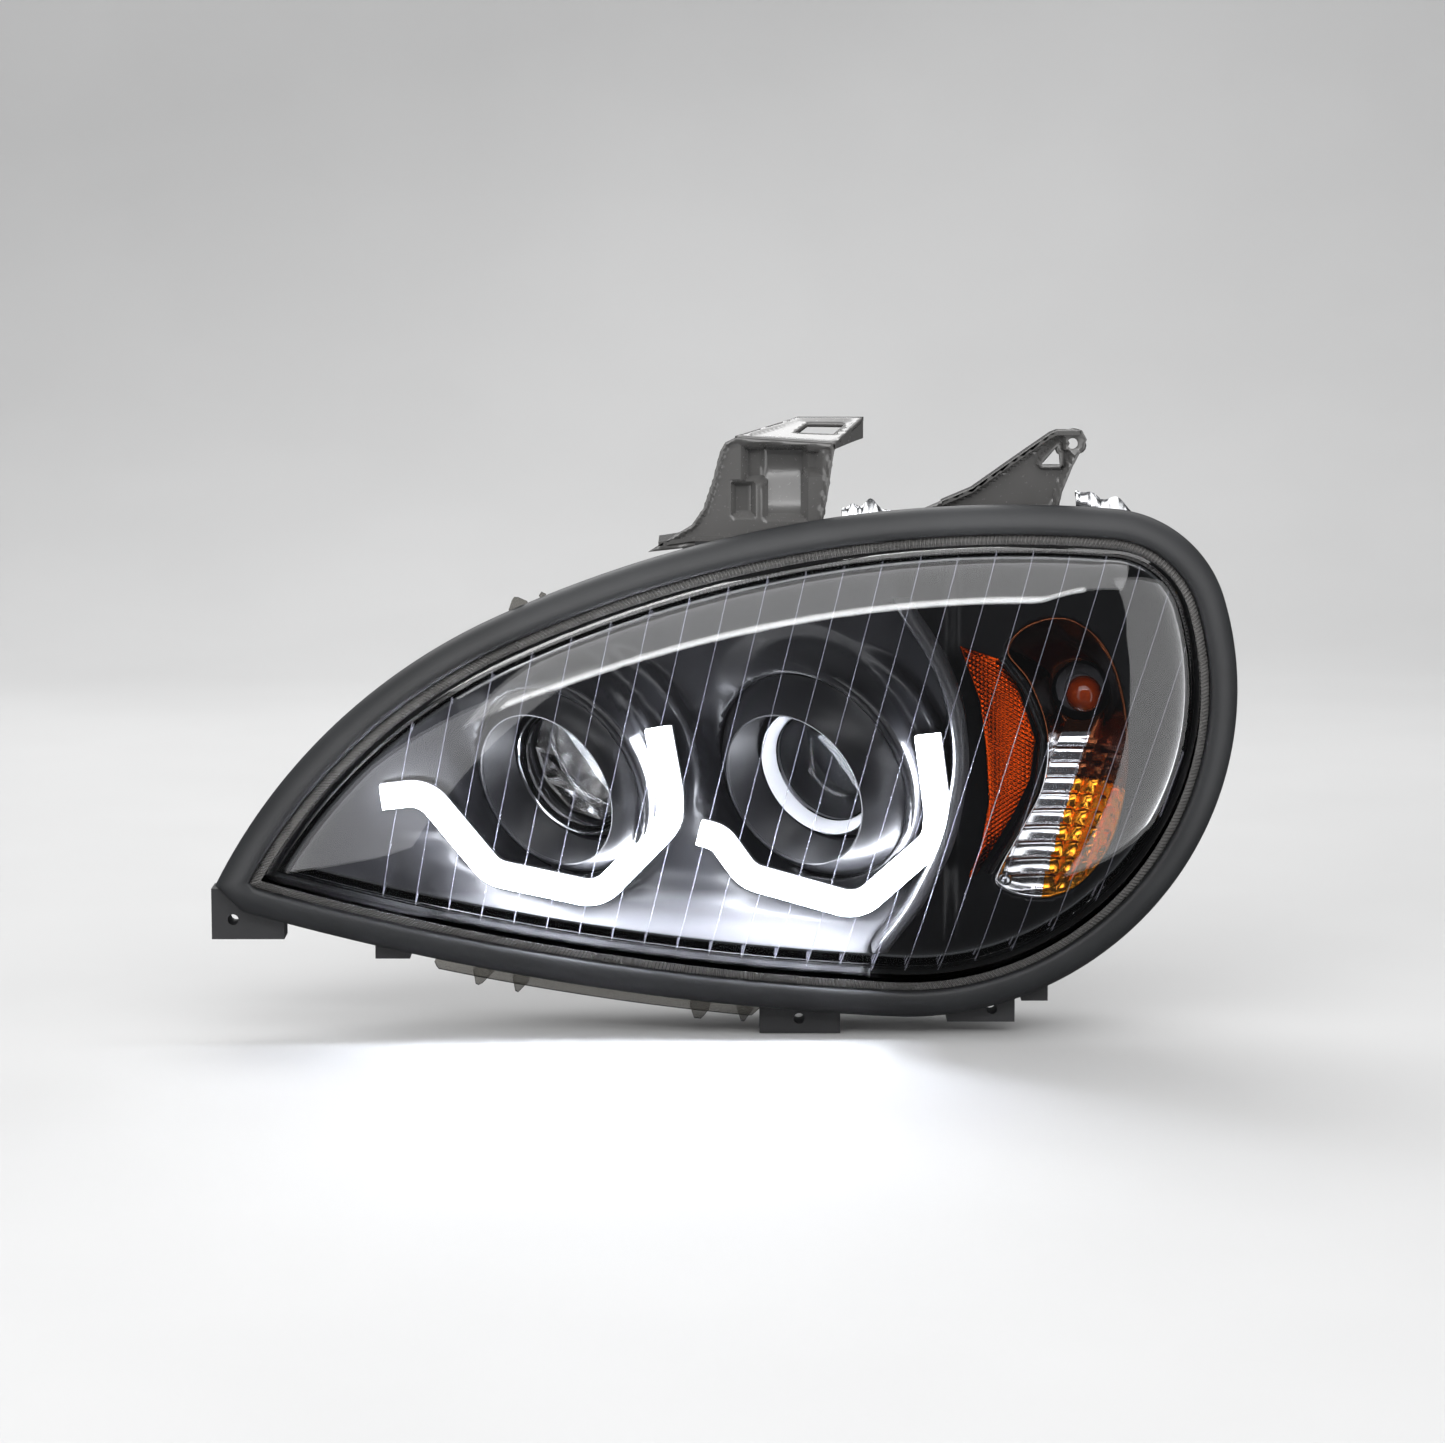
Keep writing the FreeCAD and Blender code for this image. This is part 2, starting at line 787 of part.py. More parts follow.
def led_board_shape(side):
    """A strip board behind the guide, with a row of light sources along it."""
    half = get("guide_depth") / 2
    run = GUIDE_PATHS[side][2:4]
    along = V(run[1][0] - run[0][0], 0, run[1][1] - run[0][1])
    length = along.Length - 16
    board = block(8, 8 + length, half + 1.2, half + 2.8, -5, 5)
    chips = []
    count = 6
    for index in range(count):
        x = 8 + length * (index + 0.5) / count
        chips.append(block(x - 1.5, x + 1.5, half + 0.3, half + 1.2, -1.5, 1.5))
    shape = fused([board] + chips)
    angle = math.degrees(math.atan2(along.z, along.x))
    shape.Placement = FreeCAD.Placement(
        V(run[0][0], 0, run[0][1]), FreeCAD.Rotation(V(0, -1, 0), angle)
    )
    return shape


# ---------------------------------------------------------------- projectors

def revolved(edges):
    return Part.Face(Part.Wire(edges)).revolve(V(0, 0, 0), V(0, 0, 1), 360)


def bowl_shape(outer, inner):
    """A bowl turned from two arcs, each through three (radius, height) points."""
    o = [V(r, 0, h) for r, h in outer]
    i = [V(r, 0, h) for r, h in inner]
    edges = [
        Part.Arc(*o).toShape(),
        Part.makeLine(o[2], i[2]),
        Part.Arc(*i[::-1]).toShape(),
        Part.makeLine(i[0], o[0]),
    ]
    return revolved(edges)


def projector_lens(side):
    """A flat-backed lens: a disc cut by a large sphere."""
    radius = get("lens_radius")
    crown = get(side + "_lens_crown")
    edge = -2.5
    rise = crown - edge
    sphere_radius = (radius * radius + rise * rise) / (2 * rise)
    disc = Part.makeCylinder(radius, crown + 6, V(0, 0, -5.5))
    ball = Part.makeSphere(sphere_radius, V(0, 0, crown - sphere_radius))
    return disc.common(ball)


def screw_ring(offset):
    radius = get("screw_circle")
    angles = [math.radians(offset + 120 * k) for k in range(3)]
    return [(radius * math.cos(a), radius * math.sin(a)) for a in angles]


def shield_shape():
    """The cut-off shield: a plate with a stepped upper edge and a mounting ring."""
    plate = Part.makeCylinder(37, 1.5, V(0, 0, -42))
    plate = plate.cut(block(-40, 0, -0.5, 40, -50, -30))
    plate = plate.cut(block(-0.5, 40, -4, 40, -50, -30))
    ring = Part.makeCylinder(38, 3, V(0, 0, -43)).cut(Part.makeCylinder(35.5, 3, V(0, 0, -43)))
    return fused([plate, ring])


def screws_shape():
    """Three screws for each projector flange."""
    screws = []
    for side in ("high", "low"):
        for x, y in screw_ring(30):
            shank = Part.makeCylinder(1.5, 9.6, V(x, y, -59.8))
            head = Part.makeCylinder(3, 2.2, V(x, y, -50.2 + 0.3))
            screw = fused([shank, head])
            screw.Placement = optical(side)
            screws.append(screw)
    return Part.makeCompound(screws)


def make_projector(side):
    spot = optical(side)
    ring = [
        ("ring_inner_radius", "-5.5"),
        ("ring_outer_radius", "-5.5"),
        ("ring_outer_radius", "-1"),
        ("ring_outer_radius - 2", "2"),
        ("ring_inner_radius + 1", "1"),
        ("ring_inner_radius", "-1.5"),
    ]
    turned("lens_ring_" + side, spot, ring)
    feature("projector_lens_" + side, projector_lens(side), spot)
    holder = [
        ("holder_radius - holder_wall - 4.5", "-5.8"),
        ("holder_radius", "-5.8"),
        ("holder_radius", "-24"),
        ("flange_radius - 6", "flange_back + flange_thickness"),
        ("flange_radius + 1.5", "flange_back + flange_thickness"),
        ("flange_radius + 1.5", "flange_back"),
        ("flange_radius - 8", "flange_back"),
        ("holder_radius - holder_wall", "-24"),
        ("holder_radius - holder_wall", "-9"),
        ("holder_radius - holder_wall - 4.5", "-9"),
    ]
    body = turned("lens_holder_" + side, spot, holder)
    round_holes(body, "holder_holes_" + side, screw_ring(30), "screw_hole_radius")


def make_bulb(side):
    """A capsule bulb on a stepped base, held by a three-lug retainer."""
    spot = optical(side)
    glass = [
        ("0", "-96"), ("5.5", "-96"), ("5.5", "-68"), ("4.4", "-65"), ("0", "-63.5"),
    ]
    turned("bulb_" + side, spot, glass)
    base = [
        ("0", "-114"), ("9", "-114"), ("9", "-106"), ("19", "-106"),
        ("19", "-101.5"), ("8", "-101.5"), ("8", "-96.3"), ("0", "-96.3"),
    ]
    turned("bulb_base_" + side, spot, base)


# ---------------------------------------------------------------- carrier and aiming

def ring_spot(side):
    """Centre of the carrier ring of one projector."""
    back = get("flange_back") - 0.3 - get("carrier_ring_thickness") / 2
    return optical(side).multVec(V(0, 0, back))


def carrier_shape():
    thickness = get("carrier_ring_thickness")
    top = get("flange_back") - 0.3
    radius = get("carrier_ring_radius")
    bar_front = get("bar_front")
    bar_rear = get("bar_rear")
    bar = get("bar_height")
    px = get("pivot_x")
    py = get("pivot_y")
    pz = get("pivot_z")
    vx, vz = adjuster_places()["vertical"]
    hx, hz = adjuster_places()["horizontal"]
    shapes = []
    high = ring_spot("high")
    low = ring_spot("low")
    low_bar_top = pz + 14 + bar
    shapes.append(block(hx - 8, low.x + 6, bar_front, bar_rear, pz + 14, low_bar_top))
    high_bar = high.z + radius * 0.933 + 3
    shapes.append(block(high.x - 6, low.x + 6, bar_front, bar_rear, high_bar, high_bar + bar))
    for spot in (high, low):
        shapes.append(block(spot.x - 6, spot.x + 6, bar_front, bar_rear, low_bar_top - 1, spot.z - 38))
        shapes.append(block(spot.x - 6, spot.x + 6, spot.y - 20, bar_rear, high_bar - 5, high_bar + 4))
    shapes.append(block(px - 12, px + 12, py - 10, py + 8, pz - 12, pz + 15))
    shapes.append(block(vx - 10, vx + 10, py - 10, py + 6, high_bar + bar - 1, vz + 10))
    shapes.append(block(hx - 10, hx + 10, py - 10, py + 6, hz - 10, pz + 15))
    for side in ("high", "low"):
        ring = Part.makeCylinder(radius, thickness, V(0, 0, top - thickness))
        ring.Placement = optical(side)
        shapes.append(ring)
    body = fused(shapes)
    cuts = []
    for side in ("high", "low"):
        bore = Part.makeCylinder(get("carrier_ring_bore"), 60, V(0, 0, top - 40))
        bore.Placement = optical(side)
        cuts.append(bore)
        seat = Part.makeCylinder(get("flange_radius") + 2.2, 60, V(0, 0, top))
        seat.Placement = optical(side)
        cuts.append(seat)
        for x, y in screw_ring(30):
            hole = Part.makeCylinder(get("screw_hole_radius"), 8, V(x, y, top - thickness - 1))
            hole.Placement = optical(side)
            cuts.append(hole)
    cuts.append(Part.makeSphere(get("pivot_socket_radius"), V(px, py, pz)))
    cuts.append(rod(6.8, V(px, py, pz), V(px, py + 20, pz)))
    for x, z in ((vx, vz), (hx, hz)):
        cuts.append(block(x - 8.2, x + 8.2, py - 8.2, py + 10, z - 8.2, z + 8.2))
    return body.cut(Part.makeCompound(cuts))


def rod_socket_shape():
    """A nylon insert that snaps over a rod's ball; the rod leaves towards local +Y."""
    body = block(-8, 8, -8, 6, -8, 8)
    ball = Part.makeSphere(get("rod_socket_radius"))
    mouth = rod(get("ball_radius") - 0.6, V(0, 0, 0), V(0, 10, 0))
    slit = block(-9, 9, 1, 8, -0.8, 0.8)
    return body.cut(ball).cut(mouth).cut(slit)


def push_rod_shape():
    """A ball end, a neck and a threaded shank, along local Y from the ball centre."""
    ball = Part.makeSphere(get("ball_radius"))
    neck = rod(get("neck_radius"), V(0, 4, 0), V(0, 12, 0))
    shank = rod(get("rod_radius"), V(0, 12, 0), V(0, 59, 0))
    body = fused([ball, neck, shank])
    grooves = []
    for index in range(9):
        y = 40 + 2 * index
        ring = rod(get("rod_radius") + 1, V(0, y, 0), V(0, y + 0.8, 0))
        grooves.append(ring.cut(rod(get("rod_radius") - 0.5, V(0, y, 0), V(0, y + 0.8, 0))))
    return body.cut(Part.makeCompound(grooves))


def pivot_stud_shape():
    ball = Part.makeSphere(get("ball_radius"))
    neck = rod(get("neck_radius"), V(0, 4, 0), V(0, 14, 0))
    collar = rod(6, V(0, 14, 0), V(0, 32.8, 0))
    stem = rod(get("neck_radius"), V(0, 32, 0), V(0, 38, 0))
    nut = rod(6, V(0, 36.2, 0), V(0, 41, 0))
    return fused([ball, neck, collar, stem, nut])


def liner_shape():
    body = Part.makeSphere(get("liner_outer_radius"))
    body = body.cut(Part.makeSphere(get("liner_inner_radius")))
    mouth = rod(5.2, V(0, 0, 0), V(0, 12, 0))
    slit = block(-0.6, 0.6, -1, 12, -12, 12)
    return body.cut(mouth).cut(slit)


def make_adjusters():
    py = get("pivot_y")
    box = [
        ("rod_bore_radius", "wall_outer"),
        ("gearbox_radius", "wall_outer"),
        ("gearbox_radius", "gearbox_rear - 4"),
        ("gearbox_radius - 4", "gearbox_rear"),
        ("rod_bore_radius", "gearbox_rear"),
    ]
    for name, (x, z) in adjuster_places().items():
        turned(name + "_adjuster_case", facing_rear(x, 0, z), box)
        drive = doc.addObject("PartDesign::Body", name + "_drive")
        sketch = drive.newObject("Sketcher::SketchObject", name + "_drive_hex")
        sketch.AttachmentSupport = (origin_plane(drive, "XY_Plane"), [""])
        sketch.MapMode = "FlatFace"
        across = get("drive_flats") / math.sqrt(3)
        corners = [V(across * math.cos(math.radians(60 * k)), across * math.sin(math.radians(60 * k)), 0)
                   for k in range(6)]
        for index in range(6):
            sketch.addGeometry(Part.LineSegment(corners[index], corners[(index + 1) % 6]), False)
        for index in range(6):
            after = (index + 1) % 6
            sketch.addConstraint(Sketcher.Constraint("Coincident", index, 2, after, 1))
            sketch.addConstraint(Sketcher.Constraint("Distance", -1, 1, index, 1, across))
            number = sketch.ConstraintCount - 1
            sketch.setExpression("Constraints[%d]" % number, "Sizes.drive_flats / sqrt(3)")
            if index:
                sketch.addConstraint(Sketcher.Constraint("Equal", 0, index))
        sketch.addConstraint(Sketcher.Constraint("PointOnObject", 0, 1, -1))
        pad = drive.newObject("PartDesign::Pad", name + "_drive_pad")
        pad.Profile = sketch
        pad.setExpression("Length", "Sizes.drive_rear - Sizes.gearbox_rear - 0.4")
        bore = drive.newObject("Sketcher::SketchObject", name + "_drive_bore")
        bore.AttachmentSupport = (origin_plane(drive, "XY_Plane"), [""])
        bore.MapMode = "FlatFace"
        bore.addGeometry(Part.Circle(V(0, 0, 0), UP, get("rod_bore_radius")), False)
        bore.addConstraint(Sketcher.Constraint("Coincident", 0, 3, -1, 1))
        bore.addConstraint(Sketcher.Constraint("Radius", 0, get("rod_bore_radius")))
        bore.setExpression("Constraints[1]", "Sizes.rod_bore_radius")
        pocket = drive.newObject("PartDesign::Pocket", name + "_drive_pocket")
        pocket.Profile = bore
        pocket.Length = 11
        pocket.Reversed = True
        drive.Placement = facing_rear(x, get("gearbox_rear") + 0.4, z)
        keep(drive, name + "_drive")
        feature(name + "_push_rod", push_rod_shape(), standing(x, py, z))
        feature(name + "_ball_socket", rod_socket_shape(), standing(x, py, z))


# ---------------------------------------------------------------- caps and turn lamp

def cap_shape():
    """A twist-off cap with a grip bar and ridges, seen along local Z to the rear."""
    inner = get("cap_inner_radius")
    outer = get("cap_outer_radius")
    rear = get("cap_rear")
    cup = Part.makeCylinder(outer, rear + 6, V(0, 0, -6))
    cup = cup.cut(Part.makeCylinder(inner, rear + 3, V(0, 0, -6)))
    cup = cup.makeChamfer(1.2, [e for e in cup.Edges if abs(e.BoundBox.ZMin - rear) < 0.01])
    grips = [block(-4, 4, -30, 30, rear - 0.5, rear + 9)]
    for index in range(24):
        ridge = block(outer - 1, outer + 1.4, -1.6, 1.6, -4, rear - 3)
        ridge.rotate(V(0, 0, 0), V(0, 0, 1), 15 * index + 7.5)
        grips.append(ridge)
    return fused([cup] + grips)


def make_caps():
    seal = [
        ("opening_radius + 0.4", "collar_rear + 0.2"),
        ("cap_inner_radius - 0.3", "collar_rear + 0.2"),
        ("cap_inner_radius - 0.3", "collar_rear + 3.4"),
        ("opening_radius + 0.4", "collar_rear + 3.4"),
    ]
    for side in ("high", "low"):
        x = get(side + "_cap_x")
        feature("dust_cap_" + side, cap_shape(), facing_rear(x, 0, get("cap_z")))
        turned("cap_seal_" + side, facing_rear(x, 0, get("cap_z")), seal)


def turn_bowl_shape():
    """The chrome bowl of the turn lamp, with stepped flutes across its floor."""
    front = get("turn_bowl_front")
    rear = get("turn_bowl_rear")
    half_w = get("turn_bowl_half_width")
    half_h = get("turn_bowl_half_height")
    x = get("turn_x")
    z = get("turn_z")

    def bowl(grow, y_front, y_rear):
        mouth = Part.Wire([upright_ellipse(half_w + grow, half_h + grow, y_front)])
        back = Part.Ellipse(V(x, y_rear, z + 19 + grow), V(x + 18.5 + grow, y_rear, z), V(x, y_rear, z))
        return loft([mouth, Part.Wire([back.toShape()])])

    body = bowl(2, front, rear).cut(bowl(0, front - 0.01, rear - 2))
    flutes = []
    for index in range(7):
        level = -58 + 11 * index
        flutes.append(block(120, 200, front + 3, rear, level, level + 3))
    ribs = Part.makeCompound(flutes).common(bowl(1, front, rear - 0.5))
    hollow = bowl(-4, front - 0.01, rear - 5)
    body = body.fuse(ribs.cut(hollow))
    return body.cut(rod(16, V(x, rear - 8, z), V(x, rear + 4, z))).removeSplitter()


def amber_wedge_shape():
    """The amber side reflector: a curved blade between two arcs."""
    y = -108
    left = [V(x, y, z) for x, z in ((116, 75), (133, 5), (120, -65))]
    right = [V(x, y, z) for x, z in ((137, 66), (157, 10), (144, -32))]
    edges = [
        Part.Arc(*left).toShape(),
        Part.makeLine(left[2], right[2]),
        Part.Arc(*right[::-1]).toShape(),
        Part.makeLine(right[0], left[0]),
    ]
    return Part.Face(Part.Wire(edges)).extrude(V(0, 4, 0))


def make_turn_lamp():
    x = get("turn_x")
    z = get("turn_z")
    feature("turn_reflector", turn_bowl_shape())
    feature("side_reflector", amber_wedge_shape())
    rim = arc_wall(((158, 29), (154, -12), (129, -58)), 3, -110, -98)
    feature("turn_divider", rim)
    socket = [
        ("0", "-46"), ("9.5", "-46"), ("9.5", "-36"), ("14.8", "-36"), ("14.8", "-7.6"),
        ("20", "-7.6"), ("20", "-3.6"), ("12", "-3.6"), ("12", "8"), ("0", "8"),
    ]
    turned("turn_socket", facing_rear(x, 0, z), socket)
    bulb = [
        ("0", "-46.3"), ("7.5", "-46.3"), ("7.5", "-54"), ("turn_bulb_radius - 1", "-59"),
        ("turn_bulb_radius", "-65"), ("turn_bulb_radius - 1.6", "-72"),
        ("turn_bulb_radius - 6", "-76.4"), ("0", "-77.5"),
    ]
    turned("turn_bulb", facing_rear(x, 0, z), bulb)


# ---------------------------------------------------------------- brackets and small parts

INNER_ARM = (
    (-54, 136.4), (-41, 158), (-32, 194), (-27, 198), (39, 198), (36, 188), (32, 167), (31, 136.4),
)
OUTER_ARM = (
    (100, 150.4), (114, 165), (159, 197), (169, 204), (185, 203), (188, 197), (177, 182), (168, 150.4),
)


def dished(points, y_front, y_rear, plate):
    """A plate with a rim all round, open to the rear."""
    solid = polygon(points, y_front, y_rear - y_front)
    face = Part.Face(Part.makePolygon([V(x, y_front + plate, z) for x, z in points + points[:1]]))
    inner = face.makeOffset2D(-3)
    return solid.cut(inner.extrude(V(0, y_rear - y_front, 0)))


def inner_bracket_shape():
    front = get("bracket_front")
    rear = get("bracket_rear")
    plate = get("bracket_plate")
    arm = dished(INNER_ARM, front, rear, plate)
    top = [V(-27, front, 198), V(39, front, 198), V(54, rear + 4, 209), V(13, rear + 4, 209)]
    lid = Part.Face(Part.makePolygon(top + top[:1])).extrude(V(0, 0, -4))
    foot = block(-54, 31, front + 1, rear, 136.4, 141)
    body = fused([arm, lid, foot])
    cuts = []
    window = [V(14, rear - 20, 190), V(36, rear - 20, 190), V(43, rear - 4, 190), V(21, rear - 4, 190)]
    cuts.append(Part.Face(Part.makePolygon(window + window[:1])).extrude(V(0, 0, 30)))
    for x0, x1, z0, z1 in ((-25, -8, 170, 192), (4, 26, 178, 192), (-12, 26, 148, 168)):
        cuts.append(block(x0, x1, front - 1, front + 1.8, z0, z1))
    for x in (-36, 12):
        cuts.append(rod(3.2, V(x, -78, 130), V(x, -78, 145)))
    return body.cut(Part.makeCompound(cuts))


def outer_bracket_shape():
    front = get("bracket_front")
    rear = front + 14
    arm = dished(OUTER_ARM, front, rear, get("bracket_plate"))
    foot = block(104, 168, front + 1, -75, 150.4, 155)
    boss = rod(7, V(178, front, 195), V(178, rear, 195))
    body = fused([arm, foot, boss])
    triangle = [(158, 184), (172, 193), (171, 184)]
    cuts = [polygon(triangle, front - 1, 6)]
    cuts.append(rod(get("ear_hole_radius"), V(178, front - 1, 195), V(178, rear + 1, 195)))
    for x in (120, 152):
        cuts.append(rod(3.2, V(x, -85, 145), V(x, -85, 160)))
    return body.cut(Part.makeCompound(cuts))


def bolts_shape():
    """Hexagon flange bolts that hold the two upper brackets."""
    bolts = []
    for x, y, z in ((-36, -78, 141), (12, -78, 141), (120, -85, 155), (152, -85, 155)):
        shank = rod(2.5, V(x, y, z - 18), V(x, y, z + 1))
        washer = rod(6.5, V(x, y, z), V(x, y, z + 1.2))
        turns = [math.radians(60 * k) for k in range(6)]
        corners = [V(x + 4.6 * math.cos(turn), y + 4.6 * math.sin(turn), z + 1) for turn in turns]
        head = Part.Face(Part.makePolygon(corners + corners[:1])).extrude(V(0, 0, 4.4))
        bolts.append(fused([shank, washer, head]))
    return Part.makeCompound(bolts)


def studs_shape():
    studs = []
    radius = get("stud_radius")
    for x, z in stud_places():
        head = rod(6, V(x, -13.8, z), V(x, -11.1, z))
        root = rod(get("stud_root_radius"), V(x, -12, z), V(x, 0, z))
        shank = rod(radius, V(x, 0, z), V(x, get("stud_rear"), z))
        tip = Part.makeCone(radius, radius - 1, 1.2, V(x, get("stud_rear"), z), V(0, 1, 0))
        studs.append(fused([head, root, shank, tip]))
    return Part.makeCompound(studs)


def clips_shape():
    """Bent steel spring clips that stand up behind the top of the flange."""
    clips = []
    for x, z, angle, length in ((57, 153.5, -6, 26), (203, 155, -22, 34)):
        foot = block(-length / 2, length / 2, -101.8, -99.8, -9.5, -2)
        leaf = block(-length / 2, length / 2, -101.8, -99.8, -4, 8)
        lip = block(-length / 2, length / 2, -101.8, -92, 6, 8)
        bead = block(-2, 2, -101.6, -98.8, -9, 6)
        clip = fused([foot, leaf, lip, bead])
        clip.Placement = FreeCAD.Placement(V(x, 0, z), FreeCAD.Rotation(V(0, -1, 0), angle))
        clips.append(clip)
    return Part.makeCompound(clips)


def bezel_screws_shape():
    screws = []
    for x, z in post_places():
        shank = rod(1.5, V(x, -96.2, z), V(x, -82, z))
        head = Part.makeSphere(5, V(x, -93.4, z)).common(block(x - 4, x + 4, -99, -96.1, z - 4, z + 4))
        screws.append(fused([shank, head]))
    return Part.makeCompound(screws)


def vents_shape():
    """Vent elbows that point down from the rear wall."""
    vents = []
    for x, z in VENTS:
        stem = rod(3.8, V(x, -10, z), V(x, 0, z))
        corner = Part.makeSphere(3.8, V(x, 7, z))
        run = rod(3.8, V(x, 0, z), V(x, 7, z))
        drop = rod(3.8, V(x, 7, z), V(x, 7, z - 14))
        flange = rod(6.5, V(x, -7.9, z), V(x, -6, z))
        solid = fused([stem, corner, run, drop, flange])
        hole = rod(2, V(x, -11, z), V(x, 7, z)).fuse(rod(2, V(x, 7, z), V(x, 7, z - 15)))
        vents.append(solid.cut(hole))
    return Part.makeCompound(vents)


def inlet_shape():
    """A rectangular male inlet with a row of three blades; its flange sits on the rear wall."""
    x0, x1 = INLET_X
    z0, z1 = INLET_Z
    flange = block(x0, x1, -7.9, -5.5, z0, z1)
    tube = block(x0 + 3, x1 - 3, -6, 16, z0 + 3, z1 - 3)
    hollow = block(x0 + 5, x1 - 5, -3, 17, z0 + 5, z1 - 5)
    latch = block(x0 + 11, x1 - 11, 4, 14, z1 - 3.5, z1 - 1)
    body = fused([flange, tube, latch]).cut(hollow)
    middle = (z0 + z1) / 2
    blades = []
    for index in range(3):
        x = x0 + 9 + 6 * index
        blades.append(block(x - 0.4, x + 0.4, -9, 12, middle - 1.2, middle + 1.2))
    return fused([body] + blades)


def driver_shape():
    """A finned driver box for the light guides, fixed inside the rear wall."""
    base = block(120, 172, -27, -14.5, -44, -24)
    fins = [block(122 + 6 * k, 124 + 6 * k, -33, -26.5, -43, -25) for k in range(9)]
    feet = block(114, 178, -14.6, -11.2, -38, -30)
    return fused([base, feet] + fins)


def make_front():
    feature("housing", housing_shape())
    feature("lens", lens_shape())
    feature("gasket", gasket_shape())
    bead = band(
        get("bead_outer_inset"), get("bead_inner_inset"),
        get("lens_flange_rear"), get("housing_flange_front"), False, False,
    )
    feature("sealant_bead", bead)
    feature("bezel", bezel_shape())
    for side in ("high", "low"):
        turned("shroud_" + side, optical(side), shroud_profile(side))
        feature("light_guide_" + side, guide_shape(side), guide_placement(side))
        board = led_board_shape(side)
        feature("led_board_" + side, board, guide_placement(side).multiply(board.Placement))


def make_carried():
    for side in ("high", "low"):
        make_projector(side)
        make_bulb(side)
    low = bowl_shape(
        ((40.5, -60.6), (34, -84), (13.5, -100)),
        ((38.5, -60.6), (32, -82.5), (11.5, -98)),
    )
    high = bowl_shape(
        ((38, -12), (33, -52), (13.5, -100)),
        ((36, -12), (31, -51), (11.5, -98)),
    )
    feature("reflector_low", low, optical("low"))
    feature("reflector_high", high, optical("high"))
    feature("cutoff_shield", shield_shape(), optical("low"))
    feature("projector_screws", screws_shape())
    feature("carrier", carrier_shape())
    spot = standing(get("pivot_x"), get("pivot_y"), get("pivot_z"))
    feature("pivot_stud", pivot_stud_shape(), spot)
    feature("pivot_liner", liner_shape(), spot)


def make_outside():
    feature("upper_bracket_inner", inner_bracket_shape())
    feature("upper_bracket_outer", outer_bracket_shape())
    feature("bracket_bolts", bolts_shape())
    feature("rear_studs", studs_shape())
    feature("spring_clips", clips_shape())
    feature("bezel_screws", bezel_screws_shape())
    feature("vent_elbows", vents_shape())
    feature("connector_inlet", inlet_shape())
    feature("led_driver", driver_shape())


def check_document():
    for item in doc.Objects:
        if "Invalid" in item.State or "Error" in item.State:
            raise RuntimeError("%s is %s" % (item.Label, item.State))
    bad = [part.Label for part in PARTS if part.Shape.isNull() or not part.Shape.isValid()]
    if bad:
        raise RuntimeError("bad shapes: " + ", ".join(bad))


def export_parts():
    os.makedirs("parts", exist_ok=True)
    for part in PARTS:
        part.Shape.exportStep("parts/%s.step" % part.Label)
        box = part.Shape.BoundBox
        print(
            "%-26s solids %d volume %9.0f x %.1f..%.1f y %.1f..%.1f z %.1f..%.1f" % (
                part.Label, len(part.Shape.Solids), part.Shape.Volume,
                box.XMin, box.XMax, box.YMin, box.YMax, box.ZMin, box.ZMax,
            )
        )


make_front()
make_carried()
make_adjusters()
make_caps()
make_turn_lamp()
make_outside()
doc.recompute()
check_document()
export_parts()
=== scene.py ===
import json
import math

import bmesh
import bpy
import numpy as np
from mathutils import Matrix, Vector
from mathutils.geometry import delaunay_2d_cdt

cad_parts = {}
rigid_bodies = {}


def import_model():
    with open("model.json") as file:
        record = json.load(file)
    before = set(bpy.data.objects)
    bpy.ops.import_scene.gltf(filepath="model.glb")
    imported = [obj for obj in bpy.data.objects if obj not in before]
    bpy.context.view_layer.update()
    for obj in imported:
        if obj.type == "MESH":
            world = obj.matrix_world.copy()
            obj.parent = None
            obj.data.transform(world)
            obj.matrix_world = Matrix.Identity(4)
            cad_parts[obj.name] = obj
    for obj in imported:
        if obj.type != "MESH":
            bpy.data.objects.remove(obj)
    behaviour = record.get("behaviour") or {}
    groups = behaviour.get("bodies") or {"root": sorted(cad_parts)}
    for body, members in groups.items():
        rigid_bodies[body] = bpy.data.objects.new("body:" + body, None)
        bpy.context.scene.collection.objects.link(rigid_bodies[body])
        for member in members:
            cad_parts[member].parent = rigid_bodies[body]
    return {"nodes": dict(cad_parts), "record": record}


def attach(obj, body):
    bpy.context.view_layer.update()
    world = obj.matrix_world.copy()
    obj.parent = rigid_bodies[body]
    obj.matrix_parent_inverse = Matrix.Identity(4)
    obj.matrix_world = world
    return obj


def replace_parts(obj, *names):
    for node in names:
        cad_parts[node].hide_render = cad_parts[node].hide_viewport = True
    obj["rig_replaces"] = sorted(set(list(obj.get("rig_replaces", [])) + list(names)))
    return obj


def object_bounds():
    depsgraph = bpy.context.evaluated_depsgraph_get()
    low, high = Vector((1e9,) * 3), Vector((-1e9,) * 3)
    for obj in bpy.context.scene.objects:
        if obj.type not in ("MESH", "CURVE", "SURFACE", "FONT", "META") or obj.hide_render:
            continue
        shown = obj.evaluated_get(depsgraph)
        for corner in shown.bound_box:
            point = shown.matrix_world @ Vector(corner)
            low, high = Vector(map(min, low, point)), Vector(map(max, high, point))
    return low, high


# The object is worked out in millimetres and scaled to metres when a mesh is made.
# The floor, the lights and the camera are in metres.
MM = 0.001

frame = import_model()
CAD_LOW, CAD_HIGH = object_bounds()
NODES = frame["nodes"]

# -------- front outline

TIP_X, TIP_Z = -337.5, -70.4
FIRST_HEADING = math.radians(63.2)
# Radius and sweep in degrees of each arc of the front outline, from the pointed end round the top.
ARCS = ((354.8, 38.3), (739.3, 29.6), (76.3, 68.0), (196.8, 110.0), (1717.6, 13.3))
